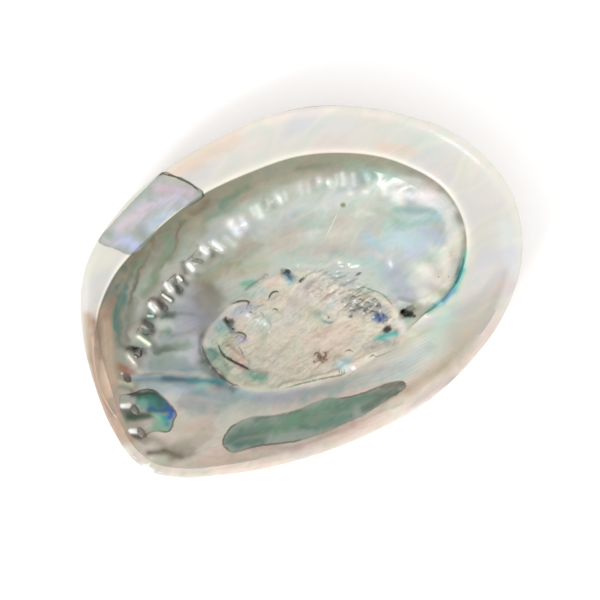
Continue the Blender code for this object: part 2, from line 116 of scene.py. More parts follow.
# The row of breathing holes from the front notch: x, y, radius on the outside, height outside
HOLES = [
    (-67.6, -8.5, 3.6, 2.0), (-65.0, -0.7, 3.6, 2.2), (-60.8, 8.6, 3.5, 2.2), (-53.6, 13.0, 3.4, 2.1),
    (-46.9, 17.4, 3.2, 1.9), (-41.0, 21.6, 3.1, 1.7), (-33.0, 23.6, 3.0, 1.5), (-24.4, 25.1, 2.9, 1.3),
    (-16.5, 26.4, 2.8, 1.2), (-3.6, 25.9, 2.9, 1.1), (9.6, 25.9, 2.8, 1.3), (26.1, 21.9, 2.6, 0.8),
    (39.5, 12.6, 2.5, 0.7), (46.5, 0.0, 2.4, 0.6),
]
OPEN_HOLES = 4  # the newest ones, nearest the front
HOLE_LONG, HOLE_SHORT = 3.9, 2.9  # an open hole's length along the row and width across it
HOLE_BAR = 20.0  # length of the bar that cuts a hole
RIM_WAVES = [(2.0, 1.0, 10.0), (3.0, 0.5, 40.0)]  # waves round the rim: number, height, direction of a top
NOTCH_ANGLE, NOTCH_WIDTH, NOTCH_DEPTH = 194.0, 1.7, 2.2  # the half-made hole in the front rim
NOTCH_STARTS = (0.93, 0.99)

# The spire: its tip, and the groove between the whorls as a spiral
SPIRE = (34.9, -30.9)
SPIRE_TIP = 0.3  # the coil is plain closer to its tip than this
SPIRE_SPREAD, SPIRE_HEIGHT = 20.0, 4.2  # how wide and how high the coil stands out
GROOVE_RADIUS, GROOVE_ANGLE = 24.0, -41.0  # where the groove reaches the rim, from the spire
GROOVE_GROWTH = 0.45  # growth of the coil's radius per radian
GROOVE_DEPTH, GROOVE_WIDTH = 1.3, 0.6
GROOVE_ENDS = (16.0, 26.0)  # distances from the spire over which it fades
SPIRE_HOLE = (23.3, -29.7)  # the coil's way in, under the end of the shelf
SPIRE_HOLE_LONG, SPIRE_HOLE_SHORT, SPIRE_HOLE_DEPTH = 2.7, 1.6, 2.4
SPIRE_HOLE_REACH = 0.8  # how far the way in runs back under the shelf
SPIRE_HOLE_FADES = (0.55, 1.45)  # shares of its size over which it opens out

# Relief on the back
RESTS = [(0.93, 0.7), (0.82, 0.6), (0.69, 0.8), (0.55, 0.5)]  # growth pauses: share of full size, height
REST_WIDTH = 0.018
RESTS_START = (14.0, 30.0)  # distances from the spire over which they rise
ROW_RIDGE, ROW_RIDGE_WIDTH = 1.0, 6.0
SIDE_GROOVE, SIDE_GROOVE_WIDTH, SIDE_GROOVE_AWAY = 0.8, 3.0, 9.5
LUMPS = [  # worn lumps and one hollow on the back: x, y, radius, height
    (29.0, -3.0, 8.5, 2.4), (-13.0, -12.0, 8.5, 2.2), (8.0, 4.0, 11.0, -0.9), (-36.0, -19.0, 7.0, 1.0),
    (3.0, -35.0, 7.0, 1.2), (50.0, 4.0, 6.0, 0.8), (-49.0, 2.0, 6.0, 0.7),
]
FOLDS, FOLD_HEIGHT, FOLD_TWIST = 9.0, 0.5, 2.2  # broad swellings across the back, slanting with growth
FOLDS_START, FOLDS_END = (18.0, 40.0), (0.85, 1.0)

# The muscle scar on the floor: its outline, and how far its rough plate stands up
SCAR = [
    (-36.6, 1.9), (-37.9, -4.0), (-37.4, -10.3), (-35.1, -15.8), (-25.2, -24.5), (-6.2, -32.3),
    (6.2, -34.4), (16.4, -36.0), (21.4, -23.8), (14.5, -13.8), (8.7, -1.9), (-0.2, 5.0), (-12.7, 7.0),
    (-25.3, 6.6),
]
SCAR_CENTRE = (-8.0, -13.0)
SCAR_HEIGHT, SCAR_EDGE = 0.9, 0.06
SCAR_WRINKLE, SCAR_WRINKLE_PITCH, SCAR_WRINKLE_ANGLE = 0.25, 7.0, 12.0
SCAR_WRINKLE_BEND, SCAR_WRINKLE_SPREAD = 0.8, 5.0

# Finer relief that the polished inside shows
DIMPLE_DEPTH, DIMPLE_SIZE = 1.7, 0.75  # each dimple: depth, and radius as a share of its hole's mound
SWELLS = [  # slow swellings of the floor: x, y, radius, height
    (-22.0, 12.0, 8.0, 0.5), (12.0, 14.0, 9.0, 0.5), (30.0, 6.0, 8.0, -0.3), (34.0, -12.0, 7.0, 0.25),
    (20.0, -4.0, 7.0, -0.3), (-46.0, -8.0, 8.0, 0.5), (40.0, 4.0, 6.0, 0.2),
]
FOLDS_INSIDE, FOLDS_INSIDE_HEIGHT, FOLDS_INSIDE_TWIST = 34.0, 0.1, 0.12  # ripples of the gutter wall
FOLDS_INSIDE_START = (30.0, 42.0)  # distances from the middle over which they rise
RUMPLED = [  # the most wrinkled places: x, y, radius
    (14.5, -18.6, 6.0), (9.9, -6.7, 6.5), (-17.7, 0.4, 4.5), (-27.9, -1.5, 4.0), (16.5, -27.7, 3.5),
]
RUMPLE, RUMPLE_PITCH, RUMPLE_ACROSS, RUMPLE_ALONG = 0.8, 2.4, 1.3, 0.6
SCAR_RELIEF_FADES = (0.9, 1.02)  # shares of the scar's reach over which its skin dies away
SCAR_LUMPS, SCAR_LUMPS_PITCH = 0.25, 5.0
SCAR_CREASE, SCAR_CREASE_PITCH, SCAR_CREASE_BEND = 0.1, 2.1, 0.9
SCAR_BEND_PITCH, SCAR_FADE_PITCH = 9.0, 7.0  # of the waves that bend the creases and fade them in and out

# Growth ribs and cords of the outside
RIBS, RIB_HEIGHT = 46.0, 0.35
CORDS, CORD_HEIGHT = 44.0, 0.22
CRUST_HEIGHT = 0.3
OUTSIDE_STARTS, RIBS_START = (0.0, 3.0), (3.0, 22.0)  # steps from the rim over which each begins
SIPHON_WALL, SIPHON_OVER = 0.6, 0.45  # thickness of a hole's raised rim, and how far over the hole it reaches
SIPHON_SINK = 0.3  # how far it is sunk into the back
SIPHON_SHRINK = 0.035  # share that each older rim is smaller
SIPHON_STEPS, SIPHON_WALL_STEPS = 28, 10  # steps round a rim, and round its section

# Fineness of the mesh
DIRECTIONS = 440
SHELF_STEPS, NOSE_STEPS, WALL_STEPS, FLOOR_STEPS, EDGE_STEPS = 16, 8, 12, 106, 6
BACK_STEPS = 72
CLOSER_AT, CLOSER_SPREAD, CLOSER_BY = 150.0, 50.0, 0.8  # directions lie closer along the row of holes
FINE_DIRECTIONS, RIM_STEP = 3601, 6.0  # count, and degrees between directions where the rim is only measured
SECTION_STEPS, ROW_POINTS = 721, 160  # places at which a section and the row are measured
TURN_STEP, TURN_END = 0.01, 0.003  # radians to each side for a section's slope, and left out at its ends
SHARP_FROM = 50.0  # degrees between faces from which an edge is sharp
FAR = 1e9  # further than anything in the tables
CLEAR = 20.0  # distance from the patches that the back is given, well clear of their edges

# Base colours by place
PEARL = "#DFDCD5"
SHELF_LIP = "#FBF5E6"
GUTTER = "#9F9D8C"
FLOOR = "#BABEB6"
LIP_SLOPE = "#DDD2C8"
SCAR_CHALK = "#DDD5C7"
LAYER, LAYER_EDGE = "#9DA99E", "#8A8070"
NOSE_SHARE, NOSE_CREAM_STEPS, NOSE_CREAM = 0.6, 2.2, 0.9  # how far the shelf's colour goes round its lip
EDGE_CREAM, EDGE_CREAM_FADES = 0.35, (0.2, 2.6)  # cream of the rim, and the distance in from it
GUTTER_SHARE = 0.2  # share of the floor over which the gutter's colour fades
SLOPE_FADES = (10.0, 34.0)  # distance in from the rim over which the outer lip's colour fades
SCAR_FADES = (0.97, 1.03)  # shares of the scar's reach over which its colour fades
FAR_HALF = (-25.0, 25.0)  # places along the shell between which the bowl's far half begins
WAVERS = [(0.7, 8.0, 21), (0.3, 3.2, 22)]  # how soft strokes waver: distance, pitch, seed
LIGHT = 0.73  # the tints are this much deeper than they look under the studio's light
LAYER_LIGHT = 1.05
BOWL_PAINTED_LIGHT = 1.35  # and this much lighter again in the bowl's far half, as painted light over the shade there
ROW_LIGHT = 0.92  # for the row's colours, its painted glints and painted shade
MARK_LIGHT = 0.88  # for marks
MARK_STEPS = 5  # steps between two places of a mark
MARK_TAPER = 4.0  # steps over which its ends taper
MARK_THINNEST, MARK_WAVER = 0.2, 0.35  # share of its width at the ends, and by which it wavers
MARK_REACH = 9.0  # distance past which nothing of a mark is seen
DOT_LENGTH = 0.1

# Colours of the patterns, each from 0 to 1 of its noise
PEARL_DRIFT = [
    (0.0, "#F8E2E4"), (0.25, "#FFF8F2"), (0.45, "#E8F4EC"), (0.6, "#FFFCF6"), (0.8, "#E4EAF8"),
    (1.0, "#F6E8F2"),
]
PEARL_FLECK = [(0.0, "#B4D8CA"), (0.3, "#EDF4EE"), (0.5, "#FFFFFF"), (0.7, "#F7E6DE"), (1.0, "#C4CEEC")]
SCAR_SKIN = [(0.0, "#8E8E80"), (0.22, "#D2CABC"), (0.45, "#FFFBF2"), (0.7, "#FFF3EA"), (1.0, "#FFFFFF")]
OUTSIDE_BANDS = [
    (0.0, "#6A4438"), (0.25, "#7B5142"), (0.42, "#8C6C58"), (0.56, "#A2937C"), (0.72, "#686B52"),
    (0.86, "#735545"), (1.0, "#6A4438"),
]
OUTSIDE_WEAR = [(0.0, "#A8988A"), (0.4, "#EFE6DC"), (0.7, "#FFFFFF"), (1.0, "#DCD0C2")]
OUTSIDE_CHALK, GROWTH_LINE = "#C9BEAC", "#A58C78"
DRIFT_TURN, DRIFT_SCALE = (0.0, 0.0, radians(-8.0)), (0.6, 1.35, 1.0)  # how the pearl is drawn out
CREASE_TURN, CREASE_SCALE = (0.0, 0.0, radians(-6.0)), (0.45, 1.25, 1.0)  # and the scar's creases

# The picture and the studio, in metres
VIEW_TURN = 37.0  # the photograph shows the shell's length this far up from level
VIEW_WIDTH = 0.192  # of the picture at the rim's level
VIEW_FROM = 1.4
VIEW_AIM = (-0.95, -4.62)  # in mm
RIM_LEVEL = 0.038
LIGHT_AIM = 0.02  # height that the lights face
SOFTBOXES = [  # name, place to the right, up and out as the photograph shows it, size, power
    ("key", (-0.55, -0.75, 1.05), (0.35, 0.45), 8.0), ("fill", (0.9, 0.9, 1.2), (1.0, 1.0), 7.0),
]
SKY_POWER = 1.06
TABLE_HALF, TABLE_WHITE = 2.5, (0.97, 0.97, 0.965, 1.0)

# Kinds and settings of node that are used often
MATH, MIX, EASE, RAMP = "ShaderNodeMath", "ShaderNodeMix", "ShaderNodeMapRange", "ShaderNodeValToRGB"
NOISE, VALUE, STORED = "ShaderNodeTexNoise", "ShaderNodeAttribute", "GeometryNodeInputNamedAttribute"
CIRCLE, TURN = "GeometryNodeCurvePrimitiveCircle", "FunctionNodeAlignRotationToVector"
MATERIAL = "GeometryNodeSetMaterial"
SOFT = {"interpolation_type": "SMOOTHSTEP"}
OVER = {"out": 2, "data_type": "RGBA"}

# Soft strokes of colour: from a place to a place (x, y, x, y), width in mm, colour, strength
SHELF_TINTS = [
    (-9.9, 52.2, 11.6, 48.8, 3.5, "#E6CAB6", 0.7), (19.7, 50, 42.9, 38.1, 1.9, "#F3E2D8", 0.6),
    (45.9, 34.2, 58.4, 21.6, 2.2, "#EBD6CC", 0.45), (31.7, 39.3, 44, 31.7, 2.9, "#DADADB", 0.6),
    (48.8, 18.4, 55.7, 11.6, 1.9, "#EBCDB8", 0.55), (57.4, 17.6, 62.6, 8, 3.2, "#CEDAD2", 0.6),
    (62.9, 6.2, 65.4, -2.1, 2.9, "#DFDDCB", 0.55), (65, -25.5, 59.2, -35.9, 2.9, "#E6E9EA", 0.6),
    (53.1, -31.3, 46.1, -37.3, 3.2, "#DCDBE4", 0.5), (42.7, -38.7, 35.4, -42, 2.6, "#D5CFC2", 0.6),
    (-44.6, 42.3, -50, 37.2, 2.6, "#DEDDCE", 0.5), (1.9, 46.6, 15.9, 44.9, 2.2, "#E4E1DC", 0.5),
    (37.4, -35.5, 32.1, -37.9, 2.2, "#BFD9CB", 0.7),
]
# Over both: the worn pink brown strip at the shelf's front end and the tan growth bands, both lightened with
# painted light where they lie in shade, and painted shade filling the spire's way in
STROKES = [
    (-54.2, 29.5, -60.3, 20.9, 1.9, "#DCBCA6", 0.95), (-60.3, 20.9, -66, 11.2, 2.1, "#E2C4AE", 0.95),
    (-66, 11.2, -70.6, -1.3, 1.9, "#DEC0AA", 0.95), (-71.4, -0.8, -72.2, -8.2, 1.6, "#C6A994", 0.9),
    (-58.9, 29.1, -68.1, 14.3, 1.6, "#AC8A74", 0.95), (-68.1, 14.3, -72.8, 2.7, 1.6, "#B08F7A", 0.95),
    (-72.8, 2.7, -74.9, -7, 1.4, "#B4947F", 0.9), (-49.8, 31.1, -55, 28.5, 1.6, "#A98B78", 0.8),
    (-39.6, 36.2, -47.3, 32.3, 0.8, "#B39A86", 0.6), (-60.3, 28.9, -63.4, 23.2, 0.6, "#E6D2C4", 0.6),
    (-68.8, 11.7, -71.9, 2.8, 0.5, "#CDB48C", 0.5), (-54.1, 40.3, -58.4, 33.5, 1.9, "#F2EDE4", 0.7),
    (-59.3, 31.8, -66.8, 19.8, 1.6, "#C8AD99", 0.92), (-66.8, 19.8, -73.3, 4.7, 1.6, "#C8AD99", 0.92),
    (-73.3, 4.7, -75.4, -6.6, 1.4, "#C6AB97", 0.88), (52.4, -39.6, 35.3, -46.3, 1.6, "#E8DDCD", 0.85),
    (35.3, -46.3, 22.6, -49.9, 1.9, "#E7D6C3", 0.9), (22.6, -49.9, 8.5, -48.9, 1.9, "#DECAB5", 0.9),
    (33, -37.7, 23.3, -42.1, 2.2, "#D6EEE2", 0.75), (21.7, -42.1, 11.4, -41.9, 2.2, "#DAE6E4", 0.75),
    (10.7, -41.8, 1.4, -39.2, 1.6, "#CCD8D6", 0.75), (8.5, -48.9, -1, -46.6, 1.3, "#C9B29E", 0.65),
    (47.7, -38.4, 34.6, -43, 1.6, "#E0DACB", 0.6), (55.5, -41.9, 40.1, -49.5, 1.4, "#DAD0C8", 0.85),
    (40.1, -49.5, 21.8, -54.6, 1.4, "#DCCFC4", 0.85), (21.8, -54.6, 4.4, -52.7, 1.4, "#D5C5B8", 0.85),
    (4.4, -52.7, -23.4, -49.8, 1.3, "#E6DBD2", 0.7), (-76.7, -15.2, -72.7, -12.6, 1.3, "#CBC1B7", 0.85),
    # painted shade filling the spire's way in
    (22.5, -28.7, 23.9, -30.5, 0.9, "#120E0B", 1), (23.9, -30.5, 24.7, -31.7, 0.5, "#120E0B", 0.95),
    (50.5, -24.5, 45.9, -29.1, 0.8, "#7FD8C8", 0.8), (45.9, -29.1, 40, -32.6, 1, "#3FC4B4", 0.95),
    (40, -32.6, 34.4, -33.6, 0.8, "#4A9FC4", 0.95), (34.4, -33.6, 29.1, -33.2, 0.8, "#6FC4B8", 0.9),
    (47.7, -25.6, 42.1, -31, 0.5, "#1F6A74", 0.8),
]
# Of the bowl, from the gutter under the shelf to the outer lip. The pale strokes along the gutter at the far
# end are painted light over its shade, and a white stroke on the far wall is a painted highlight
BOWL_TINTS = [
    (45, 11.7, 51.5, 2.8, 1.6, "#C8D4C8", 0.7), (51.5, 2.8, 55, -7.9, 1.6, "#E2E0D6", 0.8),
    (55, -7.9, 51.7, -19.8, 1.6, "#ECEAE0", 0.85), (-57.6, 1.6, -37.8, -16.8, 2.9, "#8FA6AE", 0.6),
    (-33.8, -21.1, -12, -34.7, 2.2, "#A8BCC2", 0.65), (-12, -34.7, 9.7, -43.1, 2.2, "#AEC4C0", 0.65),
    (9.7, -43.1, 25.3, -43.6, 2.2, "#B6CEC8", 0.65), (-21.3, 37.6, -30.8, 31.9, 1.4, "#839A88", 0.75),
    (-29.1, 33.1, -39.6, 26.6, 1.6, "#92A38C", 0.7), (-12.3, 34.1, -20, 30.2, 1.9, "#ABA792", 0.6),
    (-37.2, 36.7, -45, 32.2, 0.8, "#56706A", 0.85), (-32.2, 30.6, -40.4, 25.5, 1, "#A08E80", 0.55),
    (-45.7, 28, -53.8, 18.8, 1, "#767A6A", 0.8), (-46, 33, -55.5, 22.5, 0.8, "#45857C", 0.9),
    (2.5, 32.5, 11.6, 32.8, 1, "#8F8672", 0.6), (9.2, 30.7, 21.8, 28.3, 1.3, "#9DA792", 0.6),
    (23.2, 28.1, 32.3, 24.1, 1, "#8A917E", 0.6), (-48.3, 29.9, -57.2, 18.6, 1.9, "#5E7A6C", 0.85),
    (-43.7, 34.4, -48.3, 29.9, 1.3, "#3F7F78", 0.8), (-50.5, 29.6, -56, 22.9, 0.8, "#2E8C80", 0.9),
    (-41.6, 34.5, -30.1, 37, 2.9, "#8B8C78", 0.55), (-38.8, 35.6, -34, 36.7, 1, "#5E8C74", 0.5),
    (-32.8, 33.5, -21.4, 33.7, 2.6, "#8A9482", 0.6), (-19.6, 37.1, -7.3, 37.5, 2.9, "#A39C88", 0.6),
    (-13.3, 34.8, -0.3, 33, 2.2, "#78957F", 0.7), (-1.7, 34.9, 13.5, 32.2, 2.6, "#A39E8E", 0.7),
    (15.2, 33.3, 24.8, 30.1, 2.2, "#93978A", 0.7), (29.8, 27.2, 38.8, 21.1, 2.2, "#8A9C86", 0.7),
    (37.7, 19.6, 45.1, 12.4, 1.9, "#94A797", 0.7), (39.7, 14.9, 46.9, 7.4, 1.6, "#8FC2B4", 0.65),
    (47.1, 7.7, 50.4, 0.4, 1.6, "#C0CBBE", 0.6), (53, -1.6, 54.8, -10.9, 1.9, "#E6E4DC", 0.85),
    (54.8, -10.9, 50.9, -20.8, 1.6, "#E2E0D6", 0.9), (52.1, -11.3, 48, -21, 2.2, "#E6E5DB", 0.8),
    (48.3, 6, 52.6, -2.1, 1.9, "#CFD4C8", 0.8), (-22.6, 25.8, -43, 19.9, 1.6, "#A39B92", 0.5),
    (-42.4, 20.7, -51.3, 14.2, 1.3, "#59A096", 0.5), (-5.6, 21.7, -18.8, 22.9, 2.6, "#A7A490", 0.5),
    (-21.3, 19.5, -15.2, 18.6, 2.2, "#7F9578", 0.4), (-23.9, 17.1, -23.5, 11.2, 3.8, "#7D7262", 0.8),
    (-30.4, 16.4, -32.6, 9.3, 4.5, "#8E8E98", 0.8), (-42.3, 10.2, -34.1, 7.2, 2.6, "#84909A", 0.6),
    (-48.1, 8.9, -40.8, 5.8, 1.9, "#6E8668", 0.75), (-52.1, 7.9, -43.9, 1.7, 1.9, "#7C948A", 0.85),
    (-38.6, 4.5, -40.3, -1, 2.9, "#A4A2B0", 0.6), (-12.9, 18.4, -4, 17.4, 2.6, "#999A88", 0.8),
    (-11.3, 14.1, -4.2, 11.9, 2.2, "#ADB08E", 0.5), (-32.2, 6.6, -38.3, -2.5, 1.9, "#625F56", 0.8),
    (-38.7, -3, -38.3, -12.1, 1.6, "#56635E", 0.85), (-27.7, 7.2, -28.5, 3, 1.9, "#8C948C", 0.5),
    (-12.8, 9.5, -10.5, 7.8, 1.3, "#4FAE8C", 0.8), (4.3, 19.9, 15.2, 17.3, 3.2, "#B9C2C0", 0.6),
    (2.9, 13.8, 11.3, 12.2, 2.6, "#C0A998", 0.45), (14.4, 9.9, 25.6, 14.3, 2.2, "#CDD3D3", 0.6),
    (13.7, 14.4, 20.9, 9, 1.9, "#8FB3A4", 0.55), (19.2, 4.7, 25.7, 3.8, 2.6, "#D6CCBF", 0.5),
    (31.1, 7.7, 36.6, 4.4, 2.2, "#C2D0C6", 0.5), (36.3, 10.3, 40.4, 10.4, 1.6, "#E4EDEA", 0.7),
    (28.1, 13.2, 32.3, 12.4, 1.6, "#E2E7E4", 0.7), (28.2, -3.7, 28.5, -6.4, 2.6, "#93C6D6", 0.7),
    (37.8, -3.7, 50.5, -10.1, 2.2, "#86B4A4", 0.6), (35.2, -8.2, 42.9, -13.9, 2.9, "#B4D4E2", 0.7),
    (36.1, -14.4, 45, -16.4, 2.6, "#BAC2DC", 0.7), (40.8, 0.4, 51.5, -6.8, 1.6, "#CAD8D2", 0.7),
    (27.5, -8.8, 29.8, -12.1, 1.6, "#E8D9CE", 0.5), (18.1, -3.3, 23.9, -9.3, 1.6, "#9FC2B8", 0.5),
    (2.5, 6.9, 9.4, 3.3, 1.6, "#A7C4BC", 0.5), (27.9, -14.7, 27.4, -23.9, 4.2, "#A3A9BE", 0.8),
    (25, -10.1, 24.8, -15.6, 1.6, "#9CBCB8", 0.6), (35.7, -21.4, 37.5, -27.5, 2.6, "#E6E6DE", 0.8),
    (44.3, -17.4, 42.3, -23.2, 2.6, "#CDD5CC", 0.85), (32, -27.4, 34, -32.1, 1.9, "#E6EEE8", 0.7),
    (41.2, -2.3, 50.8, -8.7, 2.2, "#BCD0CC", 0.7), (44.4, -24.7, 41.9, -30.1, 1.3, "#D2CFC0", 0.6),
    (29.8, -29.7, 33.5, -31.7, 1.3, "#EDE9E2", 0.7), (31.7, -28.8, 38, -31.1, 1, "#B8C0A0", 0.5),
    (31.8, -32.9, 35.1, -33.8, 0.7, "#3F9BC0", 0.85), (31.3, -38.9, 21.7, -42.1, 2.9, "#DEF4E6", 0.85),
    (31.7, -35.2, 32.3, -39.7, 1.9, "#D6E2D2", 0.5), (19.9, -42.3, 10.2, -41.4, 2.6, "#E0EAEE", 0.85),
    (13.1, -42.8, 4.4, -39.5, 1.9, "#B6B0B8", 0.6), (24.6, -33.9, 19.1, -36.9, 1.6, "#C9D3AE", 0.5),
    (17, -31.3, 22.5, -31.4, 1, "#7FC0A8", 0.6), (-38, -13.9, -30, -22.4, 2.6, "#A2B3BC", 0.8),
    (-30.4, -22.9, -18.4, -30.3, 2.6, "#B4AFBC", 0.7), (-45.2, -11.7, -41.4, -16.2, 1.9, "#9AAEB4", 0.7),
    (-50, -3.2, -45.1, -9.4, 1.6, "#7E9CAA", 0.8), (-55.3, -1.7, -47.6, -7.5, 1.3, "#A9B4C4", 0.7),
    (-18.7, -30.8, -8.1, -34.8, 1.9, "#9CB0AC", 0.7), (-7.7, -34.3, 4.8, -38.9, 1.6, "#A6B7B0", 0.6),
    (-48.9, -14.5, -44.6, -17.3, 2.2, "#AAA8A8", 0.7), (-58.1, -14, -50.5, -19.8, 2.9, "#C4B5A4", 0.75),
    (-67.1, -12, -63.4, -18.8, 2.6, "#8E8272", 0.7), (-66.1, -19.2, -59.7, -22.4, 2.2, "#84796A", 0.75),
    (-59.6, -20.1, -53.3, -22.4, 2.2, "#B0A08F", 0.6), (-61.7, 7.9, -63, 4.1, 1, "#8F6450", 0.9),
    (-61.5, 10.2, -61.7, 7.9, 1, "#B4785E", 0.8), (-65.5, 6, -63, 0.9, 1.3, "#D8DCC8", 0.6),
    (-58.2, -26.8, -42.1, -37.3, 2.6, "#DDC7B8", 0.7), (-42.1, -37.3, -22.2, -48.2, 2.9, "#DCCBC4", 0.7),
    (-21.5, -47.2, 0.2, -51.5, 2.9, "#D6C0B4", 0.7), (0.9, -50.5, 18.2, -53.1, 2.2, "#DCD6C6", 0.7),
    (-57.5, -31.3, -25.3, -52.3, 1.3, "#F0DDD2", 0.7), (-24.6, -51.3, 15.1, -57.1, 1.3, "#F0DED4", 0.7),
    (-47.9, -28.1, -30.3, -43, 1, "#B99A8C", 0.5), (-30.3, -43, -12.4, -46.8, 1, "#C8A99C", 0.45),
    (-23.2, 36.6, -28.7, 32, 1.4, "#7C9C82", 0.85), (-28.7, 32, -35.9, 29.4, 1.6, "#84987A", 0.8),
    (-35.9, 29.4, -41.7, 26.5, 1.3, "#869A7E", 0.7), (-6.4, 38.8, -13, 38.5, 1, "#8E7C66", 0.85),
    (-13, 38.5, -18.3, 37.8, 1, "#86745F", 0.9), (-18.3, 37.8, -24.1, 33.3, 0.8, "#847360", 0.85),
    (-24.1, 33.3, -31.4, 30, 0.6, "#7E735F", 0.6), (-16.7, 35.7, -11.2, 35.6, 1.9, "#A79F88", 0.7),
    (-23.1, 32.5, -28.2, 30, 1.3, "#A39A86", 0.6), (-43.9, 34.2, -49.3, 30.7, 1, "#3C7C74", 0.95),
    (-49.3, 30.7, -55.2, 23.1, 1, "#3F8278", 0.95), (-36.4, 34.6, -41.8, 30.6, 0.5, "#666452", 0.85),
    (-41.8, 30.6, -47.3, 27.5, 0.6, "#6A6858", 0.85), (-28.1, 38.7, -36.4, 34.6, 0.6, "#76725C", 0.7),
    (-44.2, 26.8, -51.5, 20.3, 1, "#8A907C", 0.6), (-28.6, 39.1, -38.4, 37.7, 0.7, "#94806A", 0.75),
    (-21.8, 39.6, -28.6, 39.1, 0.6, "#907C66", 0.7), (-3.8, 35.2, 1.8, 34.7, 1.2, "#6C8C7A", 0.9),
    (1.2, 35, 7.8, 34.1, 1, "#7C8A72", 0.8), (7.4, 33.6, 23.2, 28.1, 1.3, "#9A9C88", 0.7),
    (11.2, 32.3, 8.1, 28.2, 1.2, "#A6A490", 0.5), (24, 29.1, 32.6, 24.6, 1, "#7E8474", 0.7),
    (-23.5, 17.6, -23.8, 14.6, 1.9, "#7E6F5C", 0.9), (-23.8, 14.6, -24.9, 9.9, 2.2, "#8A8274", 0.8),
    (-36, 17.5, -30.5, 14.1, 1.9, "#9A9AA6", 0.85), (-34.4, 12.2, -31.6, 8.5, 2.2, "#94929C", 0.8),
    (-40.7, 17.7, -37.4, 15.7, 1, "#3C5848", 0.85), (-37.4, 15.7, -33, 12, 0.7, "#747A82", 0.7),
    (-44.6, 13.5, -42.2, 12.5, 1.3, "#5E7E62", 0.8), (-45.3, 8.4, -39.9, 6, 1.3, "#6A8468", 0.85),
    (-50, 9.6, -43.3, 5.7, 0.8, "#566E58", 0.85), (-43.3, 5.7, -38.8, 4.3, 0.7, "#7C947E", 0.7),
    (-41.4, 10.3, -34.1, 7.2, 1.3, "#8E8A86", 0.85), (-53.2, 6.4, -40.8, -3.8, 1.6, "#7A9296", 0.75),
    (-31.3, 6.7, -34, 3.1, 1.6, "#84827C", 0.8), (-15.6, 18.1, -10.3, 16.5, 1.6, "#9A997C", 0.8),
    (-37.7, 13.1, -31.3, 9.9, 2.2, "#868892", 0.7), (-27.6, 15.9, -28.1, 9.9, 1.9, "#7A766E", 0.7),
    (-17.4, 17.8, -21.2, 19.1, 1.6, "#A49C80", 0.75), (-8.5, 20, -0.3, 17, 0.8, "#A99186", 0.7),
    (-35.1, 3.9, -38.1, -1.8, 1.6, "#666A60", 0.9), (-38.3, -2.5, -38.5, -10.3, 1.6, "#4E5C56", 0.95),
    (-38.7, -9.4, -36.9, -15.6, 1.3, "#647678", 0.85), (-47.3, -8.1, -44.3, -11.6, 1.2, "#86A4A2", 0.7),
    (-17.5, 21.9, -24.5, 20, 1.9, "#9C9884", 0.6), (-16.1, 15.2, -11.3, 14.1, 1.3, "#B4AE98", 0.6),
    (36.4, 3, 37.6, -2.8, 1.9, "#A4B0A2", 0.75), (13.1, 4, 22.7, -2.4, 1.9, "#ABAFA9", 0.75),
    (-41.1, 37.3, -40.4, 34, 1.3, "#667A6C", 0.8), (-15.3, 38.7, -13.5, 34.6, 1.5, "#B0A78E", 0.85),
    (-30.7, 38.3, -29.5, 34.6, 1.2, "#9EA48F", 0.75), (-52.7, -8.9, -48.5, -14, 1.9, "#96A0A0", 0.8),
    (4.7, 23.6, 25.9, 15.7, 2.2, "#C4C8C6", 0.6), (16.3, 18.9, 29, 11.7, 2.2, "#CBCFCC", 0.6),
    (25.9, 15.7, 37, 8.1, 1.9, "#C6CEC8", 0.55), (10.5, 11.2, 20.5, 8.5, 1, "#D4D6D2", 0.5),
    (28.4, 7.3, 35, 3.2, 1.1, "#D8DAD2", 0.5), (-12.9, 18.4, 0.1, 17.5, 0.6, "#B9B29E", 0.5),
    (35.7, -2.2, 33.3, -7.5, 1.9, "#A9C8C4", 0.6), (34.3, -8.3, 44.5, -12.8, 2.6, "#B6CAD2", 0.7),
    (44.7, -10.5, 45.5, -16.8, 1.9, "#B0BCC8", 0.7), (54, -11.9, 50.7, -20.6, 1.6, "#E6E4DA", 0.9),
    (50.7, -20.6, 43.7, -29.8, 1.3, "#E2E0D4", 0.9), (45.7, -20.9, 39.6, -29.9, 1.9, "#EAE9DF", 0.8),
    (27.5, -15.2, 26.7, -22.6, 3.2, "#A5ABB4", 0.8), (31.7, -22.4, 32.8, -27.2, 1.9, "#C6CCC8", 0.7),
    (-7.5, 19.2, 9.5, 15.2, 3.8, "#A8A498", 0.4), (9.5, 15.2, 23.5, 7.1, 3.8, "#B2AFA6", 0.4),
    (23.5, 7.1, 30.9, -0.1, 3.2, "#B8B6AE", 0.35), (5.3, 9.6, 21.8, -0.5, 2.6, "#AAA89E", 0.4),
    (21.8, -0.5, 27.3, -7, 2.2, "#B6B0A6", 0.35), (-24.3, 11.8, -29.8, 8.7, 2.2, "#8A8880", 0.45),
    # painted highlight on the far wall: the first stroke on this line
    (42.8, 2.9, 52.5, -7.6, 1.6, "#EEF2EE", 0.5), (38, -5.5, 45.4, -9.5, 1.3, "#8FBAB4", 0.5),
]
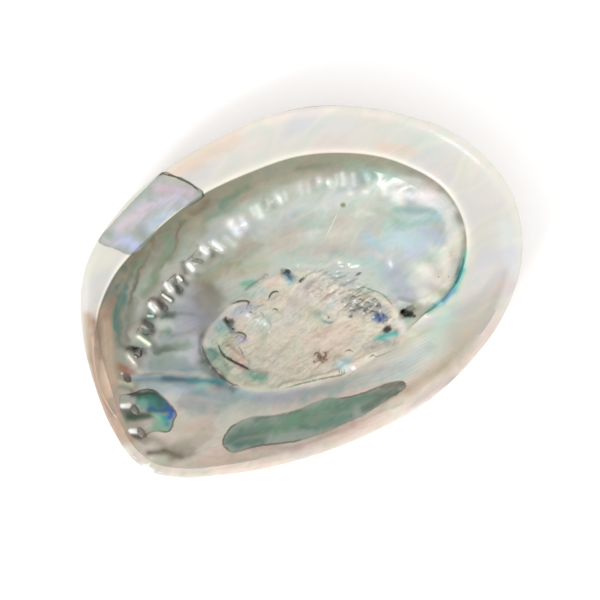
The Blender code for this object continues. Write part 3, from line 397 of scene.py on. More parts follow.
# On the muscle scar: the palest strokes along its ridges are painted highlights, and the dark grey ones in
# the hollows between them painted shade
SCAR_TINTS = [
    (2.8, -2.2, 16.9, -8, 1.6, "#B4B6A6", 0.6), (6.7, -3.5, 13.2, -4.4, 0.7, "#F2F0DC", 0.8),
    (7.8, -8.4, 16.1, -9, 0.6, "#EFE8D8", 0.8), (3.8, -9.4, 9.3, -9.5, 0.5, "#A59E8C", 0.6),
    (0.5, -5.3, 6, -5.4, 0.5, "#A8A292", 0.6), (10.1, -11.7, 15.6, -11.8, 0.5, "#A8A090", 0.6),
    (11, -14.8, 17, -24.9, 2.2, "#A3A5A2", 0.65), (11.8, -16.9, 14.1, -17.1, 0.6, "#F2EFE4", 0.9),
    (16.5, -18.1, 17.6, -19.8, 0.6, "#F6F2E2", 0.9), (11.4, -20.7, 13.7, -20.8, 0.5, "#DCE4E6", 0.8),
    (13.5, -19.9, 15.5, -20.5, 0.4, "#5E6468", 0.8), (10.3, -17.8, 12.4, -18.2, 0.4, "#666A6C", 0.8),
    (15.3, -22.8, 15.8, -24.8, 0.4, "#4A5468", 0.8), (7.9, -18.9, 9.7, -18.6, 0.4, "#70767A", 0.7),
    (16.5, -20.2, 17.1, -22.1, 0.4, "#5A5E66", 0.8), (14.2, -26, 16.5, -26.1, 1, "#4A6698", 0.85),
    (-18.8, 2.1, -17.3, -2.3, 1.3, "#F4F4F2", 0.85), (-16.8, -2.7, -15, -5.6, 1, "#E8F0F0", 0.8),
    (-20, -2.7, -19.6, -5.4, 0.8, "#C4D0CE", 0.7), (-17.7, -6, -19.1, -8.9, 0.6, "#A8B6B0", 0.6),
    (-19.7, 5.1, -15.7, 3, 0.8, "#A8B2B8", 0.8), (-16, 1.5, -13.9, 0, 0.7, "#A6ACA4", 0.7),
    (-25.5, -2.5, -24.7, -4.7, 1, "#B8B6CE", 0.9), (-27.4, -3.5, -26.7, -5.2, 0.6, "#8CC8D4", 0.85),
    (-25.1, 4.4, -25.5, 0.7, 0.9, "#2A2E2C", 0.95), (-27, 5, -27.2, 2, 0.8, "#6E9AA0", 0.7),
    (-29, 3.4, -28.3, -2, 1.3, "#A6C8AE", 0.8), (-36.5, 1, -37.5, -4.7, 1, "#6A8A7C", 0.8),
    (-37.8, -6.1, -36.4, -12.7, 1.1, "#566450", 0.85), (-34.9, -0.2, -34.4, -2.6, 0.8, "#1F7070", 0.95),
    (-31.9, -2.5, -31.1, -7.9, 1, "#8CC4A4", 0.85), (-30.5, -6, -29.6, -9, 0.6, "#D0A090", 0.7),
    (-28.7, -15.3, -26.7, -18, 1.2, "#1E8C70", 0.95), (-36, -5.8, -32.9, -14.5, 1.3, "#B0B8A0", 0.7),
    (-0.7, 5.3, 0, 3.1, 0.7, "#1E3A4C", 0.95), (-1.8, 3.3, -0.6, 1.2, 0.8, "#8FBCCC", 0.8),
    (1.6, -0.1, 3, -0.4, 0.5, "#2E343C", 0.9), (14, -29.9, 16.1, -29.8, 0.6, "#3A3230", 0.95),
    (12, -30.4, 16.6, -32.3, 1, "#4FB0A8", 0.95), (-3.6, -29.4, -2.9, -31.6, 1.3, "#C8DEDE", 0.95),
    (-8.6, -21.6, -8.1, -25.2, 1, "#A88C66", 0.5), (-7.8, 5, -3.7, 5.1, 0.8, "#D8B8AC", 0.5),
    (-0.3, -12.7, 1.3, -15.9, 1.3, "#A0BCBA", 0.85), (1.2, -15, 1.6, -16.5, 0.5, "#4E6A72", 0.8),
    (-32.6, 2.9, -31.7, -3.4, 1.9, "#B9C7B4", 0.8), (-34.6, -2.9, -34.6, -9.3, 1.9, "#86AC96", 0.7),
    (-35.3, -0.7, -35.5, -3, 1.3, "#3A7F7A", 0.8), (-28.4, -1.1, -28.2, -6.1, 1.6, "#CDBFAE", 0.6),
    (-30.3, -6.9, -29.5, -13.1, 1, "#D8A79C", 0.6), (-29.8, -13.7, -26.9, -18.3, 1.6, "#7FB09A", 0.6),
    (-28.3, 4.4, -26.5, 1.4, 1.3, "#9DC2BC", 0.7), (-21.5, 4.9, -15.6, 2.1, 1.3, "#B9C8CE", 0.7),
    (-15.3, 6.7, -9.6, 4.7, 1.3, "#A8C4C6", 0.7), (-13.8, -0.9, -13.2, -5.4, 1.6, "#E3E6E4", 0.6),
    (-0.5, 5.1, 0.8, 2.5, 1.1, "#4A86A0", 0.85), (1.3, -1.1, 8.5, -3.2, 1.6, "#D9D7CC", 0.6),
    (6.9, -5.3, 16.1, -9, 1.6, "#D6D6C4", 0.6), (14.2, -11.6, 18.9, -19.1, 1.6, "#B8AE98", 0.5),
    (10, -14, 18.2, -17, 1.3, "#8E8F84", 0.5), (9.2, -18.2, 12, -21.9, 1.6, "#8A9090", 0.55),
    (17.6, -19.8, 18.8, -24.6, 1.3, "#8F9AA4", 0.55), (0.6, -12.6, 6.1, -12.7, 1.3, "#9CB8B6", 0.6),
    (14.7, -24.8, 15.6, -26.7, 1.1, "#4A68A0", 0.8), (12.7, -30.5, 16.7, -32.7, 1, "#46A79C", 0.9),
    (11.3, -30.3, 12.6, -32.8, 1, "#5FB2B0", 0.8), (-5.7, -29.5, -1, -30.6, 1.3, "#B4D8DE", 0.85),
    (-1.2, -32, -0.4, -34.2, 0.6, "#F2F6F4", 0.9), (5.4, -30.6, 14.8, -35.3, 1, "#A9A0A8", 0.6),
    (16.6, -35, 20, -36.8, 1, "#C9B9A8", 0.6), (-22, -10.7, -4.9, -25.2, 3.8, "#D6CDBC", 0.5),
    (-18.1, -6.5, -11.4, -17.9, 3.2, "#DCD2C4", 0.4), (-34.3, -14.3, -27.2, -22.9, 1.6, "#D2C9B4", 0.5),
    (-4.3, -3.2, -0.1, -13.6, 1.9, "#C2B49E", 0.5), (-3.4, -16.8, 6.5, -21.8, 1.9, "#C6BBA6", 0.5),
]
# Of the deeper layer, where the three patches show it
LAYER_TINTS = [
    (-15.6, 51, -9.1, 43.6, 2.2, "#CCB8C8", 0.85), (-24.6, 49.7, -15.8, 45.5, 2.2, "#CCC2D2", 0.85),
    (-33.5, 48.4, -26.1, 47.6, 2.6, "#D2C6D0", 0.85), (-36.7, 45.2, -33.6, 40.4, 1.9, "#BEC2E6", 0.95),
    (-25.9, 42.7, -18.1, 42.4, 2.2, "#C2D0DE", 0.85), (-12, 51.5, -7.9, 48.4, 1.3, "#C2BBAF", 0.8),
    (-13.8, 44.8, -12.4, 41.3, 1.3, "#C8C6DC", 0.7), (-40.3, 47.9, -37.8, 44.9, 1.3, "#CDBFC8", 0.6),
    (-66.5, 3.6, -58.6, -0.8, 1.6, "#B6BCB0", 0.9), (-65, 0.8, -62.3, -3.6, 1.6, "#C6BDB8", 0.9),
    (-61.7, 0.4, -57.2, -4.2, 2.2, "#00705C", 1), (-62.9, -1.2, -60.4, -4.2, 1.1, "#3A9A80", 0.8),
    (-60.9, -3.9, -57.7, -7.1, 1.6, "#005878", 1), (-61.8, -7.2, -59.3, -10.3, 1.3, "#1EA894", 0.97),
    (-56.8, -5.3, -56.4, -8.5, 1.3, "#00507C", 0.97), (-56.9, -8.9, -58.8, -11.1, 1, "#004AB4", 0.98),
    (-68.5, -1.7, -62.7, -6.2, 1.2, "#4E5E4A", 0.92), (-63.5, 3.3, -57.5, -0.9, 1.1, "#16281F", 0.98),
    (-58.4, -0.5, -56.8, -3.7, 0.8, "#0C4438", 0.92), (-62.3, -5.6, -61.2, -8.5, 0.7, "#B6C8A8", 0.6),
    (-69.5, -4.6, -64.4, -8.5, 1.4, "#B8A99C", 0.95), (-63.8, -9.7, -60.4, -12.7, 1.4, "#7CA88C", 0.95),
    (-71.6, -6.3, -67, -9.7, 1, "#B6A898", 0.8), (-47.2, -27.1, -36.5, -31, 2.2, "#5C776C", 0.92),
    (-46.3, -30.1, -38.8, -34.1, 1.3, "#4C7C70", 0.85), (-36.5, -31, -25.7, -36.8, 2.2, "#688E76", 0.92),
    (-27.5, -33.9, -14.9, -38.5, 2.2, "#6C947C", 0.92), (-20.3, -39.3, -9.8, -42.4, 1.9, "#7A9080", 0.85),
    (-11.6, -39.4, 0.6, -44.6, 1.6, "#608672", 0.92), (-5.7, -45.5, 5, -47.1, 1.6, "#5E6F64", 0.9),
    (3.1, -43.3, 8.6, -46.6, 1, "#6E6258", 0.9), (-26.8, -38.4, -11.2, -45.3, 1.3, "#5B8A78", 0.8),
    (-36.7, -27, -23.4, -33.8, 1, "#5D6E68", 0.7),
]
# Colour and darkness of the patches' edge lines
EDGE_TINTS = [
    (-12.9, 54.1, -6.4, 40.8, 1, "#3A3428", 1), (-35.4, 39, -39, 43.3, 0.6, "#8A7A6C", 0.5),
    (-11.4, 40.6, -6.4, 40.8, 0.6, "#5A5044", 0.7), (-63.8, 3.5, -57.1, 0.1, 1, "#1F2420", 1),
    (-56.9, -0.1, -55.7, -10.2, 1, "#3A4448", 0.7), (-55.7, -10.2, -60.9, -13.5, 1, "#4A3C34", 0.9),
    (-60.9, -13.5, -69.3, -9.6, 1, "#54463C", 0.8), (-66.3, 5, -68.9, 0.5, 0.6, "#8A8070", 0.3),
    (-49.3, -26.7, -43.4, -24.2, 1, "#3C4440", 0.9), (-43.4, -24.2, -23.2, -33.5, 1, "#4C5048", 0.45),
    (-23.2, -33.5, -9.9, -38.7, 1, "#5C5A50", 0.35), (-9.9, -38.7, 8.8, -46.4, 1, "#5A4A44", 0.8),
    (8.8, -46.4, 4.4, -47.9, 1, "#4A3E3C", 0.8), (4.4, -47.9, -11.1, -46.2, 1, "#7A6C64", 0.25),
    (-11.1, -46.2, -29.5, -40.8, 1, "#5A5C54", 0.35), (-29.5, -40.8, -49.4, -29, 1, "#4A4440", 0.8),
]
# The row: dark olive painted shade and dark reflections round each sealed hole, then painted glints on its
# bright blister and the bars between, a painted highlight where the row ends on the far wall, and the blue
# streak and red brown patch near the front
ROW_TINTS_SHADE_AND_GLINTS = [
    (-59.6, 6.4, -50.9, -0.2, 1.3, "#5A7A84", 0.9), (-58.3, 7, -51.8, 2.9, 0.5, "#5E6A58", 0.6),
    (-52.4, 1.1, -44.6, -5.6, 1.2, "#184A5C", 0.97), (-46.1, -4.4, -37.8, -11.5, 1, "#1F7078", 0.95),
    (-45.1, -7.8, -42.9, -8.6, 1.3, "#7FB0AC", 0.6), (-61.2, 12.8, -58.9, 9.5, 1.3, "#9A5C48", 0.9),
    (-60.9, 8.9, -58.3, 8.2, 0.8, "#7E5C4C", 0.6), (-14.7, 24.6, -13.4, 22, 1.1, "#7A7A6A", 0.6),
    (-16, 26, -15.9, 23.9, 1.2, "#5A5644", 0.85), (-17.8, 28.9, -18.4, 26.6, 0.8, "#5E5A46", 0.7),
    (-21.6, 26.6, -20.1, 24.3, 1.3, "#636152", 0.58), (-24.9, 27.5, -25.7, 24.9, 0.9, "#5A5644", 0.8),
    (-23.9, 23.5, -23.6, 21.7, 1, "#6A6654", 0.6), (-28, 23.8, -28.2, 21.5, 1, "#4A4634", 0.85),
    (-29.7, 25.9, -30.3, 24, 0.7, "#55503C", 0.7), (-31.9, 23.5, -31.7, 20.6, 1.5, "#2A2C20", 0.97),
    (-34, 26, -34.4, 23.9, 0.8, "#4A4634", 0.75), (-36.4, 23.4, -35.3, 20.1, 1.2, "#434839", 0.78),
    (-39, 22.1, -39.4, 18.8, 1.6, "#28261C", 0.97), (-41.7, 23.7, -42.4, 21.8, 0.8, "#444032", 0.75),
    (-39.9, 24, -38.6, 22.6, 0.8, "#4E3C30", 0.8), (-43, 19.9, -38.2, 15.7, 1.1, "#2D4939", 0.88),
    (-46, 19.7, -46.1, 15.8, 1.8, "#34352A", 0.95), (-50, 16, -49, 12, 1.6, "#3D4635", 0.88),
    (-55.7, 15.8, -52.2, 12, 1.2, "#211F18", 0.97), (-57, 13.6, -56.6, 9.3, 1.6, "#5A5746", 0.68),
    (-49.8, 11, -45.5, 8.1, 1.1, "#4F5C4A", 0.68), (-63.8, 8.3, -61.3, 5.2, 1.9, "#666650", 0.68),
    (-68.3, 1.7, -66.6, -0.8, 1.7, "#3D322B", 0.88), (-68, -2.1, -63.3, -5.4, 1.3, "#404C3D", 0.93),
    (-71.3, -6.5, -69.1, -8.9, 1.7, "#403930", 0.93), (-70.1, -15, -65.8, -17.8, 1, "#4C4533", 0.88),
    (-65.8, -17.8, -62.4, -22.3, 1, "#57503F", 0.83), (-71.5, -17.9, -67.2, -19.6, 1.4, "#A6B09A", 0.78),
    (-17.1, 27.7, -16.9, 25.9, 1.3, "#FFFFFF", 0.75), (-13.1, 26.6, -12.2, 23.6, 1.2, "#FFFFFF", 0.7),
    (-24, 26, -23.9, 24, 1.1, "#F0F4F2", 0.7), (-33.5, 25.1, -33.6, 22.8, 1.1, "#F4F4EC", 0.7),
    (-41.3, 22.7, -41.5, 20.4, 1.1, "#F0EEE4", 0.7), (-50.6, 16.8, -49.6, 12.8, 1, "#E2EED2", 0.8),
    (-56.9, 14.3, -56.9, 10, 1, "#D8D4C4", 0.75), (-58.3, 10.2, -56.5, 7.3, 0.9, "#C9B8A6", 0.5),
    (-63.6, 8.6, -61.4, 6.1, 1.2, "#CBCCB2", 0.85), (-67.7, 2, -66.3, 0.8, 1, "#EEF2E4", 0.8),
    (-70.5, -5.9, -69.1, -7.3, 0.9, "#E6ECDC", 0.8), (-73.6, -17.5, -72.5, -20.3, 0.6, "#FFFFFF", 0.9),
    (-4.7, 28.3, -4.7, 25.1, 1.7, "#FFFFFF", 0.9), (-1.3, 27.4, -1.7, 25.3, 1.3, "#EEF2F0", 0.8),
    (-8.9, 25.9, -8.2, 22.5, 1.2, "#D8DCD8", 0.6), (5.3, 27.6, 4.7, 24.8, 1.2, "#F4F8F4", 0.75),
    (3.5, 28.5, 3.1, 26.4, 0.8, "#E8ECE8", 0.6), (9.2, 27.5, 8.3, 25.3, 0.8, "#E6EAE4", 0.6),
    (12.7, 26.4, 12.4, 24.3, 1, "#EEF2EE", 0.7), (15.3, 26.1, 14.5, 23.9, 0.7, "#E6EAE6", 0.6),
    (20.9, 25, 19.9, 22.6, 1, "#DCE4DE", 0.6), (23, 23.5, 21.7, 21.2, 0.8, "#E8EEEC", 0.5),
    (26.9, 22.9, 25.4, 20.8, 1, "#F0F6F4", 0.7), (29.4, 20.3, 28.5, 18.5, 0.7, "#E6EEEC", 0.5),
    (34, 19.5, 32.2, 16.5, 0.8, "#F4FAF8", 0.75), (32.3, 20.4, 30.8, 18, 0.6, "#E6F0EC", 0.6),
    (36.7, 17.2, 35, 14.4, 0.8, "#F0F8F4", 0.7), (40, 14.2, 38.8, 11.5, 1, "#F6FCFA", 0.75),
    (40.7, 10.9, 39.8, 9.2, 0.8, "#EAF2F0", 0.6), (42.8, 9.3, 41.6, 6.2, 1.4, "#FAFCF8", 0.85),
    (43.9, 4.5, 44.4, 0.9, 1.7, "#FAFCFA", 0.8), (45.6, 2.4, 52.7, -4.1, 1.6, "#FFFFFF", 0.9),
    (50.6, -3.7, 52, -8.8, 1.3, "#F8FCFA", 0.8), (40.7, 0.1, 50.3, -8.3, 1.5, "#93B2AA", 0.8),
    (49.5, -9.4, 50.5, -13.3, 1, "#A6CCD4", 0.5),
]
# Relief: blisters and bars of the row, bumps and hollows of the scar: place to place, width, height
RIDGES = [
    (-13.4, 26.8, -12.2, 23.1, 0.83, 0.8), (-17.3, 27.4, -16.8, 25.4, 0.83, 1),
    (-21.6, 26.6, -20.1, 24.3, 0.54, 0.6), (-24.2, 26.2, -24.1, 23.7, 0.9, 0.8),
    (-28.9, 24.9, -28.9, 23.3, 0.58, 0.9), (-33.5, 25.1, -33.6, 22.8, 0.83, 1.2),
    (-36.4, 23.4, -35.3, 20.1, 0.51, 0.8), (-41.3, 22.7, -41.5, 20.4, 0.86, 1.2),
    (-44.2, 20.4, -43.1, 19.2, 0.54, 0.7), (-48.1, 19, -47.8, 17.9, 0.58, 0.5),
    (-50.6, 16.8, -49.6, 12.8, 0.74, 0.9), (-57, 13.6, -56.9, 10, 0.7, 0.8),
    (-63.6, 8.6, -61.4, 6.1, 0.96, 0.8), (-67.7, 2, -66.3, 0.8, 0.77, 0.9),
    (-70.5, -5.9, -69.1, -7.3, 0.74, 0.9), (-3.6, 28.7, -4, 24.9, 1.73, 0.5),
    (-9.6, 26, -9, 23.5, 1.15, 0.35), (5.3, 27.6, 4.9, 25.1, 1.79, 0.36), (9.9, 26.9, 9.5, 24.8, 2.05, 0.2),
    (14.7, 25.3, 14.1, 22.9, 2.11, 0.2), (20.7, 23.6, 19.8, 21.9, 1.73, 0.2),
    (26.8, 22.6, 25, 20.3, 1.73, 0.28), (31.2, 18.9, 30.3, 17.2, 1.79, 0.18),
    (34.9, 15.3, 33.6, 13.1, 1.73, 0.22), (40.1, 13.8, 38.4, 11, 1.6, 0.3),
    (2.2, -4.1, 10.7, -4.5, 0.7, 0.83), (3.4, -7.8, 14.4, -8.1, 0.64, 0.75),
    (5.4, -10.5, 16.9, -11.2, 0.58, 0.68), (3, 0.1, 10.1, -2.1, 0.64, 0.6),
    (4.5, -3.1, 12.2, -3.6, 0.48, 0.6), (9, -10, 15.5, -10.9, 0.58, 0.68), (10, -14, 17.4, -14.8, 0.64, 0.75),
    (0.5, -2.1, 6.7, -2.3, 0.58, -0.6), (11.1, -15.7, 13.2, -16.1, 0.64, 0.9),
    (12.9, -18.6, 15.4, -18.5, 0.64, 0.9), (16.4, -19.3, 17.2, -21.4, 0.64, 0.9),
    (10.5, -19.6, 13, -19.5, 0.64, 0.83), (13.6, -21.9, 13.8, -23.7, 0.64, 0.83),
    (17.1, -22.6, 17.2, -24.6, 0.64, 0.9), (15.7, -17.1, 18.5, -17.6, 0.64, 0.75),
    (8.2, -17.5, 10, -17.2, 0.58, 0.75), (10.7, -17.3, 13.5, -17.8, 0.45, -0.75),
    (13.2, -20.4, 15.3, -20.8, 0.45, -0.9), (15.5, -22.6, 15.6, -24.6, 0.45, -0.9),
    (14.6, -17.5, 16.7, -17.9, 0.42, -0.75), (-20.1, 6.7, -16.2, 4.5, 0.77, 0.9),
    (-16.7, 3.3, -13.6, 0.5, 0.7, 0.9), (-18.4, 0.5, -17.4, -1.4, 1.09, 1.05),
    (-15.5, -3.2, -14.8, -5.4, 0.96, 0.9), (-25.4, -3, -25, -4.1, 0.96, 1.35),
    (0.6, -13.7, 1.5, -15.6, 1.41, 1.2), (-3.8, -29.6, -2.9, -31.6, 1.34, 1.5),
    (12.4, -31, 16.2, -32.3, 1.15, 1.05), (14.1, -25.5, 16.2, -25.9, 0.96, 0.9),
    (-31, -2.4, -28.3, -11.6, 0.83, 1.35), (-34.8, -1.1, -35, -9.8, 0.96, 0.75),
    (-33, -10.4, -26.9, -18.3, 1.09, 0.9), (-9.8, 0.1, -6.3, -0.5, 0.77, 0.75),
    (-11.3, -2.8, -9.8, -5.1, 0.7, 0.6), (-1.9, 3.8, -0.9, 1.4, 0.96, 0.75),
    (-25.1, 4.4, -25.5, 0.7, 0.77, -1.65), (-0.4, 5.8, 0.8, 4.1, 0.7, -1.5),
    (1.6, -0.1, 3.2, -0.1, 0.51, -1.2), (14.2, -29.6, 15.8, -29.6, 0.64, -1.5),
    (-8.6, -21.6, -6.2, -25.9, 1.09, -0.52), (-13.7, 7.8, -5.7, 7.8, 0.58, 0.9),
    (-24.2, -24.3, -12.3, -29.7, 0.7, 0.75), (-12.3, -29.7, -2.5, -32.7, 0.64, 0.75),
    (4, -33.6, 15.7, -37.2, 0.64, 0.68), (27.1, -15.7, 26.1, -24.5, 3.84, -1.35),
    (24.3, -24.8, 26.6, -28.1, 0.96, 1.05), (15.9, -0.8, 21.4, -7.4, 1.92, 0.75),
    (5.5, 4.6, 12.8, -1.7, 1.6, 0.6), (-21.7, -8.2, -6, -10.8, 1.6, 0.38),
    (-18.8, -17.1, -0.9, -19.9, 1.6, 0.33), (-16.4, -24.6, 1, -25.3, 1.28, 0.3),
    (-24.2, -14.7, -14, -16, 1.28, 0.3), (-36.5, 1, -37.4, -5.6, 0.51, -0.5),
    (-37.4, -5.6, -35.3, -15.6, 0.51, -0.5), (-31.9, -0.5, -31.4, -7.7, 0.48, -0.5),
    (-31.4, -7.7, -28.5, -13.5, 0.48, -0.5),
]
